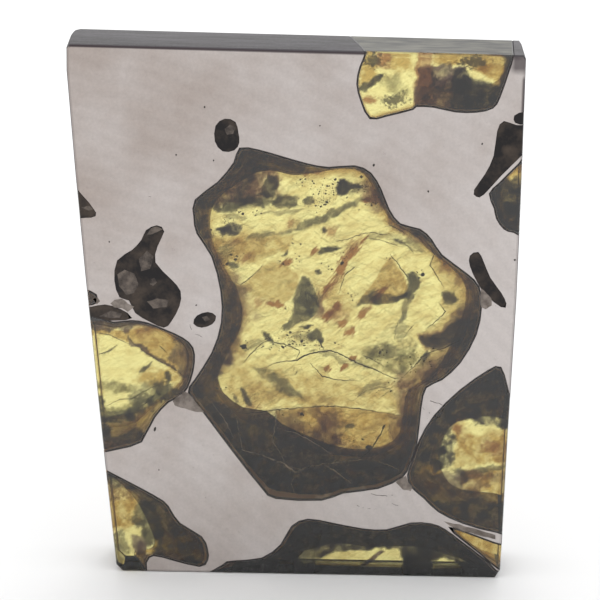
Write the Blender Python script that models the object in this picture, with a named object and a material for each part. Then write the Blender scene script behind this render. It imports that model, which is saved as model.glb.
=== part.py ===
"""Pallasite meteorite: a polished part slice, with olivine crystals and dark inclusions in nickel-iron.

X runs to the right along the polished front face, Y from front to back and Z up. The front face is at
-THICKNESS / 2. Sizes are in millimetres up to the point where a mesh is made. Heights in the outlines are
measured from the two lower corners. The edge between them bulges down by FOOT_DROP, and the slice rests there.
"""

import math

import bmesh
import bpy
from mathutils import Vector

MM = 0.001

# Driving dimensions
THICKNESS = 7.0
FOOT_DROP = 0.45
EDGE_BEVEL = 0.25
RIM_STEPS = 2
# The front rim of the top edge is ground off further towards its right end, by this share of the rim
TOP_RIM_EXTRA = 0.8
TOP_SIDE = 50.0
LEFT_ROUNDING = 1.3
LEFT_ROUNDING_SHARE = 0.45
LEFT_SIDE = -15.0
# The left rounding is full at the top edge and runs out at this height
LEFT_ROUNDING_END = 36.0
GAP = 0.3
OVERSHOOT = 1.0
SPLINE_STEPS = 2
CREASE = math.radians(35)
LOOSEST_CORNER = 0.6

FRONT = -THICKNESS / 2
BACK = THICKNESS / 2

# How far a crystal that goes right through has changed from its front outline to its back outline
WALL_STATIONS = ((FRONT, 0.0), (-1.3, 0.26), (1.2, 0.66), (BACK, 1.0))
# How far down its depth a pocket has narrowed
POCKET_STATIONS = ((0.0, 0.0), (0.55, 0.22), (0.88, 0.62), (1.0, 1.0))

# Outline of the slab, clockwise from the top left corner
SLAB = (
    (-21.05, 52.0),
    (21.05, 51.65),
    (21.3, 51.3),
    (21.35, 38.0),
    (21.3, 28.0),
    (21.0, 14.0),
    (20.8, 0.4),
    (20.3, -FOOT_DROP),
    (-16.1, -FOOT_DROP),
    (-16.75, 0.2),
    (-17.75, 10.0),
    (-18.55, 18.0),
    (-19.7, 30.0),
    (-20.6, 40.0),
    (-21.35, 49.5),
    (-21.35, 51.6),
)

# Crystals that go right through. Each row is one point of the outline, clockwise: x and z on the front face, then
# x and z on the back face. Points outside the slab carry the outline past its edge, where the slab cuts it off.
OLIVINE_CENTER = (
    (-5.1, 42.25, -3.6, 39.0),
    (-3.4, 42.1, -2.0, 39.2),
    (-1.2, 41.5, -0.2, 38.8),
    (1.2, 40.85, 1.8, 39.0),
    (3.2, 40.55, 3.6, 39.4),
    (5.6, 40.75, 5.8, 39.5),
    (7.1, 40.1, 7.0, 38.6),
    (8.1, 38.5, 7.8, 37.1),
    (8.9, 36.6, 8.7, 35.4),
    (10.0, 35.2, 9.9, 34.0),
    (11.9, 34.7, 11.7, 33.0),
    (13.0, 33.7, 12.7, 31.9),
    (14.0, 32.25, 13.9, 30.9),
    (16.4, 30.45, 15.9, 29.3),
    (17.6, 29.2, 16.7, 27.8),
    (17.9, 27.2, 16.6, 25.6),
    (17.5, 24.5, 15.7, 22.9),
    (16.1, 21.7, 14.6, 20.3),
    (14.4, 19.95, 13.1, 18.6),
    (12.9, 19.1, 11.5, 17.5),
    (12.45, 17.0, 11.1, 15.9),
    (12.15, 13.2, 10.7, 12.9),
    (11.5, 11.2, 9.4, 11.7),
    (10.9, 9.95, 7.9, 11.3),
    (8.6, 8.75, 6.0, 11.2),
    (5.2, 8.2, 3.8, 11.7),
    (3.2, 7.45, 2.2, 12.3),
    (-1.2, 7.55, -0.8, 13.7),
    (-2.5, 8.5, -2.3, 15.0),
    (-5.2, 12.0, -4.6, 15.3),
    (-8.2, 16.1, -6.5, 16.7),
    (-9.7, 18.1, -7.0, 17.8),
    (-9.15, 19.3, -7.0, 18.9),
    (-7.5, 22.1, -5.9, 21.5),
    (-6.6, 25.2, -4.8, 24.0),
    (-6.7, 28.4, -5.3, 27.2),
    (-7.6, 31.8, -7.1, 30.3),
    (-9.0, 34.0, -7.9, 32.7),
    (-9.3, 35.6, -8.0, 34.6),
    (-9.2, 37.2, -7.5, 36.1),
    (-7.1, 38.95, -5.8, 37.6),
    (-5.6, 40.9, -4.4, 38.5),
)
OLIVINE_TOP = (
    (20.1, 54.0, 20.4, 54.0),
    (20.0, 51.6, 20.3, 51.6),
    (19.6, 50.0, 20.0, 50.0),
    (18.9, 47.7, 19.3, 48.7),
    (18.3, 46.7, 18.5, 48.0),
    (16.8, 46.3, 16.9, 47.8),
    (14.9, 46.3, 15.2, 48.0),
    (12.9, 46.7, 13.3, 47.7),
    (11.2, 46.75, 11.9, 46.5),
    (10.9, 46.45, 11.0, 45.6),
    (8.4, 45.75, 8.4, 44.9),
    (7.0, 45.5, 6.9, 44.5),
    (6.2, 47.0, 5.9, 46.1),
    (5.75, 48.7, 5.3, 48.1),
    (6.0, 50.3, 5.15, 50.1),
    (6.5, 51.7, 5.2, 51.7),
    (6.7, 54.0, 5.2, 54.0),
)
OLIVINE_LEFT = (
    (-22.0, 24.85, -22.0, 23.1),
    (-17.0, 24.95, -17.2, 23.2),
    (-15.3, 25.15, -15.5, 23.6),
    (-13.8, 24.95, -14.0, 23.5),
    (-12.0, 24.25, -12.3, 22.9),
    (-10.4, 23.5, -10.9, 22.0),
    (-9.5, 22.6, -10.2, 21.0),
    (-9.35, 21.2, -10.1, 19.7),
    (-9.7, 19.4, -10.5, 18.3),
    (-10.4, 18.0, -11.3, 17.2),
    (-11.8, 17.15, -12.4, 16.4),
    (-13.1, 15.6, -13.7, 15.4),
    (-14.0, 13.8, -14.9, 14.8),
    (-15.4, 12.6, -16.3, 14.4),
    (-22.0, 12.6, -22.0, 14.3),
)
OLIVINE_BOTTOM_LEFT = (
    (-22.0, 12.2, -22.0, 10.4),
    (-17.8, 9.95, -17.8, 8.2),
    (-14.6, 8.25, -15.4, 6.0),
    (-12.2, 6.85, -14.3, 4.2),
    (-11.5, 5.9, -13.9, 3.3),
    (-10.6, 4.6, -13.6, 2.5),
    (-8.5, 3.25, -13.3, 1.7),
    (-7.95, 2.0, -13.2, 1.1),
    (-7.9, 0.9, -13.3, 0.7),
    (-8.6, 0.3, -13.6, 0.4),
    (-11.0, 0.85, -14.2, 0.2),
    (-13.1, 1.35, -14.7, 0.1),
    (-13.9, 0.5, -15.2, -0.2),
    (-14.6, -2.0, -15.8, -2.0),
    (-22.0, -2.0, -22.0, -2.0),
)
OLIVINE_BOTTOM = (
    (-6.5, -2.0, 1.2, -2.0),
    (-6.3, 0.3, 1.4, 0.1),
    (-5.2, 0.75, 2.0, 0.6),
    (-2.5, 1.1, 3.0, 0.9),
    (-0.6, 2.6, 3.8, 1.15),
    (0.4, 4.5, 4.4, 1.3),
    (1.9, 5.25, 5.2, 1.35),
    (4.2, 4.9, 6.4, 1.2),
    (7.2, 4.35, 8.0, 1.0),
    (9.6, 4.3, 9.6, 1.1),
    (11.9, 5.05, 11.2, 1.2),
    (13.9, 5.0, 12.6, 1.1),
    (15.2, 4.45, 13.9, 0.8),
    (16.8, 3.25, 15.2, 0.5),
    (18.6, 1.85, 16.4, 0.1),
    (20.3, 0.3, 17.4, -0.2),
    (21.5, -2.0, 17.6, -2.0),
)
OLIVINE_BOTTOM_WEDGE = (
    (15.75, 4.7, 16.4, 3.1),
    (17.6, 4.1, 17.9, 2.7),
    (20.0, 3.2, 20.0, 2.1),
    (23.0, 2.1, 23.0, 1.5),
    (23.0, -0.4, 23.0, 0.3),
    (20.6, 0.6, 20.2, 0.5),
    (18.9, 2.05, 18.4, 1.3),
    (17.1, 3.5, 16.9, 2.3),
)
OLIVINE_LOWER_RIGHT = (
    (20.0, 21.15, 19.9, 14.8),
    (20.6, 19.5, 20.5, 14.7),
    (21.3, 17.9, 21.2, 14.5),
    (24.0, 17.0, 24.0, 14.2),
    (24.0, 4.4, 24.0, 6.8),
    (20.4, 4.4, 20.0, 6.9),
    (17.0, 5.3, 17.0, 7.2),
    (14.6, 6.45, 15.7, 7.9),
    (13.2, 7.8, 15.1, 8.8),
    (11.9, 8.95, 14.8, 9.5),
    (11.55, 10.1, 14.7, 10.3),
    (11.95, 11.5, 14.7, 11.1),
    (12.6, 13.7, 14.9, 12.1),
    (13.9, 16.15, 15.3, 13.3),
    (16.3, 18.8, 16.4, 14.3),
    (18.9, 20.8, 18.6, 14.8),
)
OLIVINE_RIGHT_EDGE = (
    (23.0, 34.6, 23.0, 34.8),
    (20.8, 34.75, 21.1, 34.9),
    (19.9, 35.05, 20.5, 35.2),
    (19.2, 36.0, 20.1, 35.9),
    (18.95, 37.0, 19.9, 36.9),
    (18.45, 38.35, 19.7, 38.2),
    (19.3, 39.35, 20.1, 39.2),
    (21.1, 41.3, 21.2, 40.6),
    (23.0, 43.2, 23.0, 42.0),
)

# Pockets, which end inside the slab: the outline on the front face as rows of x and z, clockwise
INCLUSION_POCKET = (
    (-12.9, 34.55),
    (-12.35, 34.1),
    (-12.95, 32.7),
    (-13.15, 31.0),
    (-11.6, 29.3),
    (-10.75, 28.2),
    (-10.85, 26.8),
    (-11.6, 25.3),
    (-12.2, 24.75),
    (-13.4, 25.25),
    (-14.8, 26.1),
    (-15.4, 27.35),
    (-16.3, 27.65),
    (-16.75, 29.2),
    (-16.5, 31.1),
    (-15.1, 32.15),
    (-14.2, 33.2),
    (-13.8, 34.1),
)
INCLUSION_TEARDROP = (
    (-6.55, 45.0),
    (-5.7, 44.75),
    (-5.45, 43.8),
    (-5.35, 42.9),
    (-5.75, 42.25),
    (-6.7, 42.15),
    (-7.35, 43.0),
    (-7.3, 44.4),
)
INCLUSION_LEFT_CAP = (
    (-22.0, 26.0),
    (-19.3, 26.35),
    (-17.8, 26.65),
    (-16.4, 26.25),
    (-15.45, 25.55),
    (-17.0, 25.35),
    (-22.0, 25.25),
)
OLIVINE_LEFT_BEAD = (
    (-22.0, 28.2),
    (-19.2, 28.0),
    (-18.6, 27.35),
    (-19.0, 26.85),
    (-22.0, 26.7),
)
INCLUSION_LEFT_EDGE = (
    (-22.0, 39.2),
    (-20.0, 37.4),
    (-19.0, 36.15),
    (-18.8, 35.6),
    (-19.7, 35.45),
    (-22.0, 35.6),
)
INCLUSION_RIGHT_EDGE = (
    (19.5, 45.25),
    (20.6, 44.9),
    (23.0, 44.85),
    (23.0, 44.2),
    (21.4, 42.5),
    (19.3, 40.25),
    (17.75, 38.4),
    (17.2, 38.2),
    (17.05, 38.7),
    (18.0, 40.2),
    (18.75, 42.0),
    (19.0, 44.4),
)
INCLUSION_RIGHT_BEAD = (
    (20.5, 45.6),
    (20.9, 46.1),
    (23.0, 46.2),
    (23.0, 45.35),
    (21.0, 45.25),
)
INCLUSION_SLIVER = (
    (17.45, 32.5),
    (17.9, 31.7),
    (18.6, 30.1),
    (19.7, 28.6),
    (20.2, 27.6),
    (19.9, 27.4),
    (18.5, 28.5),
    (17.6, 29.8),
    (16.9, 31.3),
    (16.85, 32.2),
)
OVAL_CENTER = (-8.3, 25.45)
OVAL_HALF_LENGTH = 0.98
OVAL_HALF_WIDTH = 0.58
OVAL_TILT = math.radians(20.0)
OVAL_POINTS = 6


def oval():
    """Points of the oval inclusion, clockwise."""
    points = []
    for index in range(OVAL_POINTS):
        turn = -2 * math.pi * index / OVAL_POINTS
        along = OVAL_HALF_LENGTH * math.cos(turn)
        across = OVAL_HALF_WIDTH * math.sin(turn)
        x = OVAL_CENTER[0] + along * math.cos(OVAL_TILT) - across * math.sin(OVAL_TILT)
        z = OVAL_CENTER[1] + along * math.sin(OVAL_TILT) + across * math.cos(OVAL_TILT)
        points.append((x, z))
    return points


# Name and outline
THROUGH_CRYSTALS = (
    ("olivine_center", OLIVINE_CENTER),
    ("olivine_top", OLIVINE_TOP),
    ("olivine_left", OLIVINE_LEFT),
    ("olivine_bottom_left", OLIVINE_BOTTOM_LEFT),
    ("olivine_bottom", OLIVINE_BOTTOM),
    ("olivine_bottom_wedge", OLIVINE_BOTTOM_WEDGE),
    ("olivine_lower_right", OLIVINE_LOWER_RIGHT),
    ("olivine_right_edge", OLIVINE_RIGHT_EDGE),
)
# Name, outline, depth from the front face, and size of the bottom against the mouth
POCKETS = (
    ("inclusion_pocket", INCLUSION_POCKET, 4.6, 0.80),
    ("inclusion_teardrop", INCLUSION_TEARDROP, 2.8, 0.70),
    ("inclusion_left_cap", INCLUSION_LEFT_CAP, 3.0, 0.80),
    ("olivine_left_bead", OLIVINE_LEFT_BEAD, 2.2, 0.75),
    ("inclusion_left_edge", INCLUSION_LEFT_EDGE, 3.4, 0.75),
    ("inclusion_right_edge", INCLUSION_RIGHT_EDGE, 4.0, 0.85),
    ("inclusion_right_bead", INCLUSION_RIGHT_BEAD, 2.0, 0.80),
    ("inclusion_sliver", INCLUSION_SLIVER, 2.6, 0.80),
    ("inclusion_oval", oval(), 1.8, 0.70),
)

# Principled BSDF values: base colour, roughness, metallic
FINISHES = {
    "nickel_iron": ((0.50, 0.46, 0.44, 1.0), 0.3, 1.0),
    "olivine": ((0.73, 0.63, 0.20, 1.0), 0.1, 0.0),
    "dark_inclusion": ((0.03, 0.03, 0.035, 1.0), 0.2, 0.0),
}


def clear_scene():
    for old in list(bpy.data.objects):
        bpy.data.objects.remove(old, do_unlink=True)


def collection(name):
    made = bpy.data.collections.new(name)
    bpy.context.scene.collection.children.link(made)
    return made


def finish(name):
    """The material of that name, made on first use."""
    if name in bpy.data.materials:
        return bpy.data.materials[name]
    colour, roughness, metallic = FINISHES[name]
    material = bpy.data.materials.new(name)
    material.use_nodes = True
    shader = material.node_tree.nodes["Principled BSDF"]
    shader.inputs["Base Color"].default_value = colour
    shader.inputs["Roughness"].default_value = roughness
    shader.inputs["Metallic"].default_value = metallic
    return material


def smooth(points):
    """A closed Catmull-Rom spline through the points, with SPLINE_STEPS steps between neighbours."""
    curve = []
    count = len(points)
    for index in range(count):
        before, start, end, after = (Vector(points[(index + k) % count]) for k in (-1, 0, 1, 2))
        for step in range(SPLINE_STEPS):
            t = step / SPLINE_STEPS
            bend = 2 * before - 5 * start + 4 * end - after
            twist = 3 * start - before - 3 * end + after
            curve.append(start + 0.5 * (t * (end - before) + t**2 * bend + t**3 * twist))
    return curve


def grown(points, by):
    """The clockwise outline moved outwards by that distance, or inwards if it is negative."""
    moved = []
    for index, point in enumerate(points):
        into = (point - points[index - 1]).normalized()
        out_of = (points[(index + 1) % len(points)] - point).normalized()
        along = (into + out_of).normalized()
        lean = max(along.dot(into), LOOSEST_CORNER)
        moved.append(point + Vector((-along.y, along.x)) * (by / lean))
    return moved


def loft(name, sections, holder):
    """A closed solid through sections, each a y and an outline of x and z, all with equally many points."""
    shape = bmesh.new()
    rings = []
    for y, outline in sections:
        rings.append([shape.verts.new((x * MM, y * MM, z * MM)) for x, z in outline])
    for near, far in zip(rings, rings[1:]):
        for index in range(len(near)):
            shape.faces.new((near[index - 1], near[index], far[index], far[index - 1]))
    shape.faces.new(rings[0])
    shape.faces.new(rings[-1])
    bmesh.ops.recalc_face_normals(shape, faces=shape.faces)
    mesh = bpy.data.meshes.new(name)
    shape.to_mesh(mesh)
    shape.free()
    made = bpy.data.objects.new(name, mesh)
    holder.objects.link(made)
    return made


def through_sections(outline, by):
    """Sections of a crystal that shows on both faces, its outline moved outwards by that distance."""
    front = grown(smooth([row[:2] for row in outline]), by)
    back = grown(smooth([row[2:] for row in outline]), by)
    sections = [(FRONT - OVERSHOOT, front)]
    for y, share in WALL_STATIONS:
        sections.append((y, [a.lerp(b, share) for a, b in zip(front, back)]))
    sections.append((BACK + OVERSHOOT, back))
    return sections


def pocket_sections(outline, depth, bottom_size, by):
    """Sections of an inclusion that ends in the metal, its outline and its depth grown by that distance."""
    front = smooth(outline)
    middle = sum(front, Vector((0.0, 0.0))) / len(front)
    sections = [(FRONT - OVERSHOOT, grown(front, by))]
    for share, narrowing in POCKET_STATIONS:
        size = 1.0 - (1.0 - bottom_size) * narrowing
        ring = grown([middle + (point - middle) * size for point in front], by)
        sections.append((FRONT + (depth + by) * share, ring))
    return sections


def slab_stations():
    """Pairs of y and rim inset from front to back: a rounded rim, the flat edge, and the other rim."""
    turns = [math.radians(90.0 * step / RIM_STEPS) for step in range(RIM_STEPS + 1)]
    rim = [(EDGE_BEVEL * (1 - math.cos(turn)), EDGE_BEVEL * (1 - math.sin(turn))) for turn in turns]
    stations = [(FRONT + depth, inset) for depth, inset in rim]
    stations.append((BACK - LEFT_ROUNDING, 0.0))
    stations.append((BACK - LEFT_ROUNDING * (1 - LEFT_ROUNDING_SHARE), 0.0))
    stations += [(BACK - depth, inset) for depth, inset in reversed(rim)]
    return stations


def slab(holder):
    """The cut and polished slab before anything is taken out of it, the top of its left edge rounded off at the
    back."""
    top = max(height for _, height in SLAB)
    sections = []
    for y, inset in slab_stations():
        past = max(y - (BACK - LEFT_ROUNDING), 0.0)
        turned_in = LEFT_ROUNDING - math.sqrt(LEFT_ROUNDING**2 - past**2)
        outline = grown([Vector(point) for point in SLAB], -inset)
        width = max(point.x for point in outline) - min(point.x for point in outline)
        for point in outline:
            if y < 0 and point.y > TOP_SIDE:
                point.y -= inset * TOP_RIM_EXTRA * (0.5 + point.x / width)
            if point.x < LEFT_SIDE:
                point.x += turned_in * max(0.0, (point.y - LEFT_ROUNDING_END) / (top - LEFT_ROUNDING_END))
        sections.append((y, outline))
    return loft("slab", sections, holder)


def add_boolean(target, operation, other):
    modifier = target.modifiers.new(other.name, "BOOLEAN")
    modifier.operation = operation
    modifier.solver = "EXACT"
    modifier.object = other


def hide_helper(helper):
    helper.hide_render = True
    helper.display_type = "WIRE"


def shade(part):
    part.data.shade_smooth()
    part.data.set_sharp_from_angle(angle=CREASE)


def build():
    clear_scene()
    parts = collection("pallasite_meteorite")
    cutters = collection("cutters")
    foot = bpy.data.objects.new("foot", None)
    foot.location = (0.0, 0.0, FOOT_DROP * MM)
    parts.objects.link(foot)

    blank = slab(cutters)
    matrix = bpy.data.objects.new("nickel_iron_matrix", blank.data.copy())
    parts.objects.link(matrix)
    matrix.data.materials.append(finish("nickel_iron"))

    shapes = []
    for name, outline in THROUGH_CRYSTALS:
        shapes.append((name, [through_sections(outline, by) for by in (-GAP / 2, GAP / 2)]))
    for name, outline, depth, bottom_size in POCKETS:
        shapes.append((name, [pocket_sections(outline, depth, bottom_size, by) for by in (-GAP / 2, GAP / 2)]))

    for name, (solid_sections, cavity_sections) in shapes:
        crystal = loft(name, solid_sections, parts)
        crystal.data.materials.append(finish("olivine" if name.startswith("olivine") else "dark_inclusion"))
        add_boolean(crystal, "INTERSECT", blank)
        cavity = loft(name + "_cavity", cavity_sections, cutters)
        add_boolean(matrix, "DIFFERENCE", cavity)

    for part in parts.objects:
        if part is not foot:
            part.parent = foot
            shade(part)
    for helper in cutters.objects:
        helper.parent = foot
        hide_helper(helper)


build()
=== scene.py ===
import math
import random

import bmesh
import bpy
import numpy as np
from mathutils import Matrix, Vector, noise
from mathutils.bvhtree import BVHTree


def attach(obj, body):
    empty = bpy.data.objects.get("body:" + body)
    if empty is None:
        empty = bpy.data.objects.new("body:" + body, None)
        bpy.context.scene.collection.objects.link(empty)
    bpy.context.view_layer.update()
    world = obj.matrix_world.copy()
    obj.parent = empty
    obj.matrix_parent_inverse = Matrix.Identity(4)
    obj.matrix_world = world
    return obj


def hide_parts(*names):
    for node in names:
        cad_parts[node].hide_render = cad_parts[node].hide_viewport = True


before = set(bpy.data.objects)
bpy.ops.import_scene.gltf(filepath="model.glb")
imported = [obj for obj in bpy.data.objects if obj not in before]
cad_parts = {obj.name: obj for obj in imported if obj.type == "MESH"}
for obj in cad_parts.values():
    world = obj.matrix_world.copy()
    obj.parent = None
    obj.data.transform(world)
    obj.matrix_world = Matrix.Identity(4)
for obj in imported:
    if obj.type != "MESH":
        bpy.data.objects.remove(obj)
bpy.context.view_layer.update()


# Camera
# The view looks down a little at the polished front face, from straight ahead and far away, so the side edges stay
# nearly parallel. Sizes are millimetres up to the point where they reach Blender.
MM = 0.001
AIM = Vector((0.74, -3.5, 28.05))
VIEWPOINT = Vector((0.74, -276.05, 111.38))
LENS_LENGTH = 180.0
SENSOR_WIDTH = 36.0
CLIP = (0.01, 10.0)
ROLL = math.radians(1.05)

forward = (AIM - VIEWPOINT).normalized()
level = forward.cross(Vector((0.0, 0.0, 1.0))).normalized()
right = level * math.cos(ROLL) + level.cross(forward) * math.sin(ROLL)
camera_data = bpy.data.cameras.new("camera")
camera_data.lens = LENS_LENGTH
camera_data.sensor_width = SENSOR_WIDTH
camera_data.clip_start, camera_data.clip_end = CLIP
camera = bpy.data.objects.new("camera", camera_data)
turn = Matrix((right, right.cross(forward), -forward)).transposed().to_4x4()
camera.matrix_world = Matrix.Translation(VIEWPOINT * MM) @ turn
bpy.context.scene.collection.objects.link(camera)
bpy.context.scene.camera = camera


# Studio
# The slice stands on a plain pale sheet of matt card under even white light. A large soft lamp above and behind it
# shines through the crystals, and its shadow falls softly towards the viewer.
FLOOR_RADIUS = 1500.0
FLOOR_CARD = "#E9E9E9"
WHITE = (1.0, 1.0, 1.0, 1.0)
SKY_STRENGTH = 1.15
LAMP_SIZE = 450.0
LAMP_POWER = 1.6
LAMP_PLACE = Vector((40.0, 520.0, 520.0))


def colour(code):
    """An sRGB hex value as the linear colour that a shader takes."""
    parts = [int(code[i:i + 2], 16) / 255 for i in (1, 3, 5)]
    return [p / 12.92 if p <= 0.04045 else ((p + 0.055) / 1.055) ** 2.4 for p in parts] + [1.0]


def new_material(name):
    """A material with an empty node tree."""
    made = bpy.data.materials.new(name)
    made.use_nodes = True
    made.node_tree.nodes.clear()
    return made


def add(material, kind, inputs=None, **settings):
    """Adds one node. Its inputs are values, or the outputs of other nodes to link."""
    made = material.node_tree.nodes.new("ShaderNode" + kind)
    for name, value in settings.items():
        setattr(made, name, value)
    for name, value in (inputs or {}).items():
        if isinstance(value, bpy.types.NodeSocket):
            material.node_tree.links.new(value, made.inputs[name])
        else:
            made.inputs[name].default_value = value
    return made


def surface(material, settings, volume=None):
    """Ends a material in one physical shader with these settings, and what fills the piece, if anything does."""
    ends = {"Surface": add(material, "BsdfPrincipled", settings).outputs[0]}
    if volume:
        ends["Volume"] = volume
    add(material, "OutputMaterial", ends)


def new_object(name, bm, material):
    """Turns a bmesh into an object of one material, at the origin, and frees the bmesh."""
    mesh = bpy.data.meshes.new(name)
    bm.to_mesh(mesh)
    bm.free()
    made = bpy.data.objects.new(name, mesh)
    mesh.materials.append(material)
    bpy.context.scene.collection.objects.link(made)
    return made


# Matt card: no gloss to speak of, so that it takes a soft shadow and no reflection of the slice
card = new_material("matt_card")
surface(card, {"Base Color": colour(FLOOR_CARD), "Roughness": 0.9, "Specular IOR Level": 0.1})
bm = bmesh.new()
bmesh.ops.create_circle(bm, cap_ends=True, segments=96, radius=FLOOR_RADIUS * MM)
floor = new_object("floor", bm, card)

world = bpy.data.worlds.new("studio")
world.use_nodes = True
sky = world.node_tree.nodes["Background"].inputs
sky["Color"].default_value = WHITE
sky["Strength"].default_value = SKY_STRENGTH
bpy.context.scene.world = world
bpy.context.scene.view_settings.view_transform = "Standard"

lamp_data = bpy.data.lights.new("soft_lamp", "AREA")
lamp_data.size = LAMP_SIZE * MM
lamp_data.energy = LAMP_POWER
lamp = bpy.data.objects.new("soft_lamp", lamp_data)
lamp.location = LAMP_PLACE * MM
lamp.rotation_euler = (AIM - LAMP_PLACE).to_track_quat("-Z", "Y").to_euler()
bpy.context.scene.collection.objects.link(lamp)


# Nickel-iron matrix
# One piece of natural nickel-iron alloy, sawn to a slab and ground to a fine satin polish on both broad faces. The
# crystals grew in it, so its cavities have their shapes.
FRONT = -3.5
FOOT_DROP = 0.45
INLAY_HEIGHT = 0.008
MERGE = 0.002
CREASE = math.radians(28)
FLAT = 0.999
METAL_PALE = "#C6BFBC"
METAL_DARK = "#AEA39D"
SAWN_EDGE_SHADE = "#454145"
SAWN_DARK_SHADE = "#2A2727"
PAINTED_RIM_SHADE = "#3A3438"
PAINTED_EDGE_SHADE = "#3C3438"
LAP_CENTER = (30.0, 0.0, 20.0)
# Painted shade on the polished front, for the dark that the bevelled edges reflect: the line under the top edge, the
# corner right of the top crystal and the rim below it. Each is how dark it is, and the directions it grows along, with
# where it starts and where it is full.
PAINTED_EDGE_SHADES = (
    (0.9, (((0.0083, 0.0, 1.0), 51.92, 52.06), ((-1.0, 0.0, 0.0), -6.6, -6.4))),
    (0.75, (((1.0, 0.0, 0.0), 19.7, 20.3), ((0.0, 0.0, 1.0), 50.2, 50.9))),
    (0.8, (((1.0, 0.0, -0.004), 20.75, 20.95), ((0.0, 0.0, 1.0), 46.2, 46.8), ((0.0, 0.0, -1.0), -50.2, -49.8))),
)


def copy_of(node):
    """A node's mesh as a bmesh in millimetres, with its loose corners merged."""
    bm = bmesh.new()
    bm.from_mesh(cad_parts[node].data)
    bmesh.ops.scale(bm, vec=(1 / MM,) * 3, verts=bm.verts)
    bmesh.ops.remove_doubles(bm, verts=bm.verts, dist=MERGE)
    return bm


def finish(name, bm, material, replaces=()):
    """Turns a bmesh in millimetres into a finished piece of the scene. Broad flat sides stay flat in the light."""
    bm.normal_update()
    for face in bm.faces:
        face.smooth = True
    for edge in bm.edges:
        broad = [abs(face.normal.y) > FLAT for face in edge.link_faces]
        edge.smooth = len(set(broad)) == 1 and edge.calc_face_angle(math.pi) < CREASE
    bmesh.ops.scale(bm, vec=(MM,) * 3, verts=bm.verts)
    made = new_object(name, bm, material)
    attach(made, "root")
    if replaces:
        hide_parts(*replaces)
    return made


def sink_front(bm):
    """Sets the polished front back by a few thousandths, so that flush inlays can lie over it."""
    for vert in bm.verts:
        if vert.co.y < FRONT + INLAY_HEIGHT / 2:
            vert.co.y = FRONT + INLAY_HEIGHT


# Settings of a Mix node that lets the second colour filter the first
FILTER = {"data_type": "RGBA", "blend_type": "MULTIPLY"}


def mottled(material, place, scale, detail, roughness, low, high, dark, pale):
    """A colour that wanders with a noise: dark where the noise is under low, and pale where it is over high."""
    wander = add(material, "TexNoise", {"Vector": place, "Scale": scale, "Detail": detail, "Roughness": roughness})
    wander = add(material, "MapRange", {0: wander.outputs[0], 1: low, 2: high}).outputs[0]
    return add(material, "Mix", {0: wander, 6: colour(dark), 7: colour(pale)}, data_type="RGBA").outputs[2]


# Natural nickel-iron, satin polished: warm pale grey with a faint cloudy mottle that darkens towards the upper left, a
# fine grain and the curved trails of the lap. The sawn edges are left dull, and painted dark grey with strokes as
# painted shade for the dark that they reflect; the rims along the top edges are painted nearly black, a painted dark
# reflection.
# Dark bands along the top and right edges of the front are painted shade of the same kind.
metal = new_material("satin_nickel_iron")
coords = add(metal, "TexCoord")
place = add(metal, "Mapping", {"Vector": coords.outputs["Object"], "Scale": (1 / MM,) * 3}).outputs[0]
clouds = add(metal, "TexNoise", {"Vector": place, "Scale": 0.11, "Detail": 5.0, "Roughness": 0.62}).outputs[0]
spread = add(metal, "VectorMath", {0: place, 1: (0.5, 0.0, -0.35)}, operation="DOT_PRODUCT").outputs[1]
spread = add(metal, "MapRange", {0: spread, 1: -26.0, 2: 12.0, 3: -0.15, 4: 0.35}, clamp=False).outputs[0]
clouds = add(metal, "Math", {0: clouds, 1: spread}, operation="ADD").outputs[0]
clouds = add(metal, "MapRange", {0: clouds, 1: 0.3, 2: 0.7}).outputs[0]
tone = add(metal, "Mix", {0: clouds, 6: colour(METAL_DARK), 7: colour(METAL_PALE)}, data_type="RGBA").outputs[2]
grain_size = add(metal, "TexNoise", {"Vector": place, "Scale": 3.4, "Detail": 4.0, "Roughness": 0.7}).outputs[0]
grain_tone = add(metal, "MapRange", {0: grain_size, 1: 0.3, 2: 0.7, 3: 0.93, 4: 1.05}).outputs[0]
lap = add(metal, "Mapping", {"Vector": place, "Location": LAP_CENTER}).outputs[0]
trails = add(metal, "TexWave", {
    "Vector": lap,
    "Scale": 0.22,
    "Distortion": 7.0,
    "Detail": 4.0,
    "Detail Scale": 0.5,
}, wave_type="RINGS", rings_direction="Y").outputs[1]
trail_tone = add(metal, "MapRange", {0: trails, 3: 0.975, 4: 1.016}).outputs[0]
light = add(metal, "Math", {0: grain_tone, 1: trail_tone}, operation="MULTIPLY").outputs[0]
tone = add(metal, "Mix", {0: 1.0, 6: tone, 7: light}, **FILTER).outputs[2]
facing = add(metal, "SeparateXYZ", {0: coords.outputs["Normal"]})
broad = add(metal, "Math", {0: facing.outputs[1]}, operation="ABSOLUTE").outputs[0]
# Painted shade: the sawn sides are dull, and their tone is painted dark grey with strokes for the dark that they
# reflect
sawn = add(metal, "MapRange", {0: broad, 1: 0.8, 2: 0.98, 3: 1.0, 4: 0.0}).outputs[0]
strokes = add(metal, "Mapping", {"Vector": place, "Scale": (0.12, 0.9, 0.12)}).outputs[0]
cut = mottled(metal, strokes, 1.0, 6.0, 0.7, 0.38, 0.6, SAWN_DARK_SHADE, SAWN_EDGE_SHADE)
tone = add(metal, "Mix", {0: sawn, 6: tone, 7: cut}, data_type="RGBA").outputs[2]
# Painted shade: the bevels along the top edges are painted nearly black, for the dark that they reflect
rim = add(metal, "Math", {0: facing.outputs[2], 1: broad}, operation="MULTIPLY").outputs[0]
rim = add(metal, "MapRange", {0: rim, 1: 0.12, 2: 0.4}).outputs[0]
tone = add(metal, "Mix", {0: rim, 6: tone, 7: colour(PAINTED_RIM_SHADE)}, data_type="RGBA").outputs[2]
front = add(metal, "Math", {0: facing.outputs[1], 1: -0.9}, operation="LESS_THAN").outputs[0]
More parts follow.
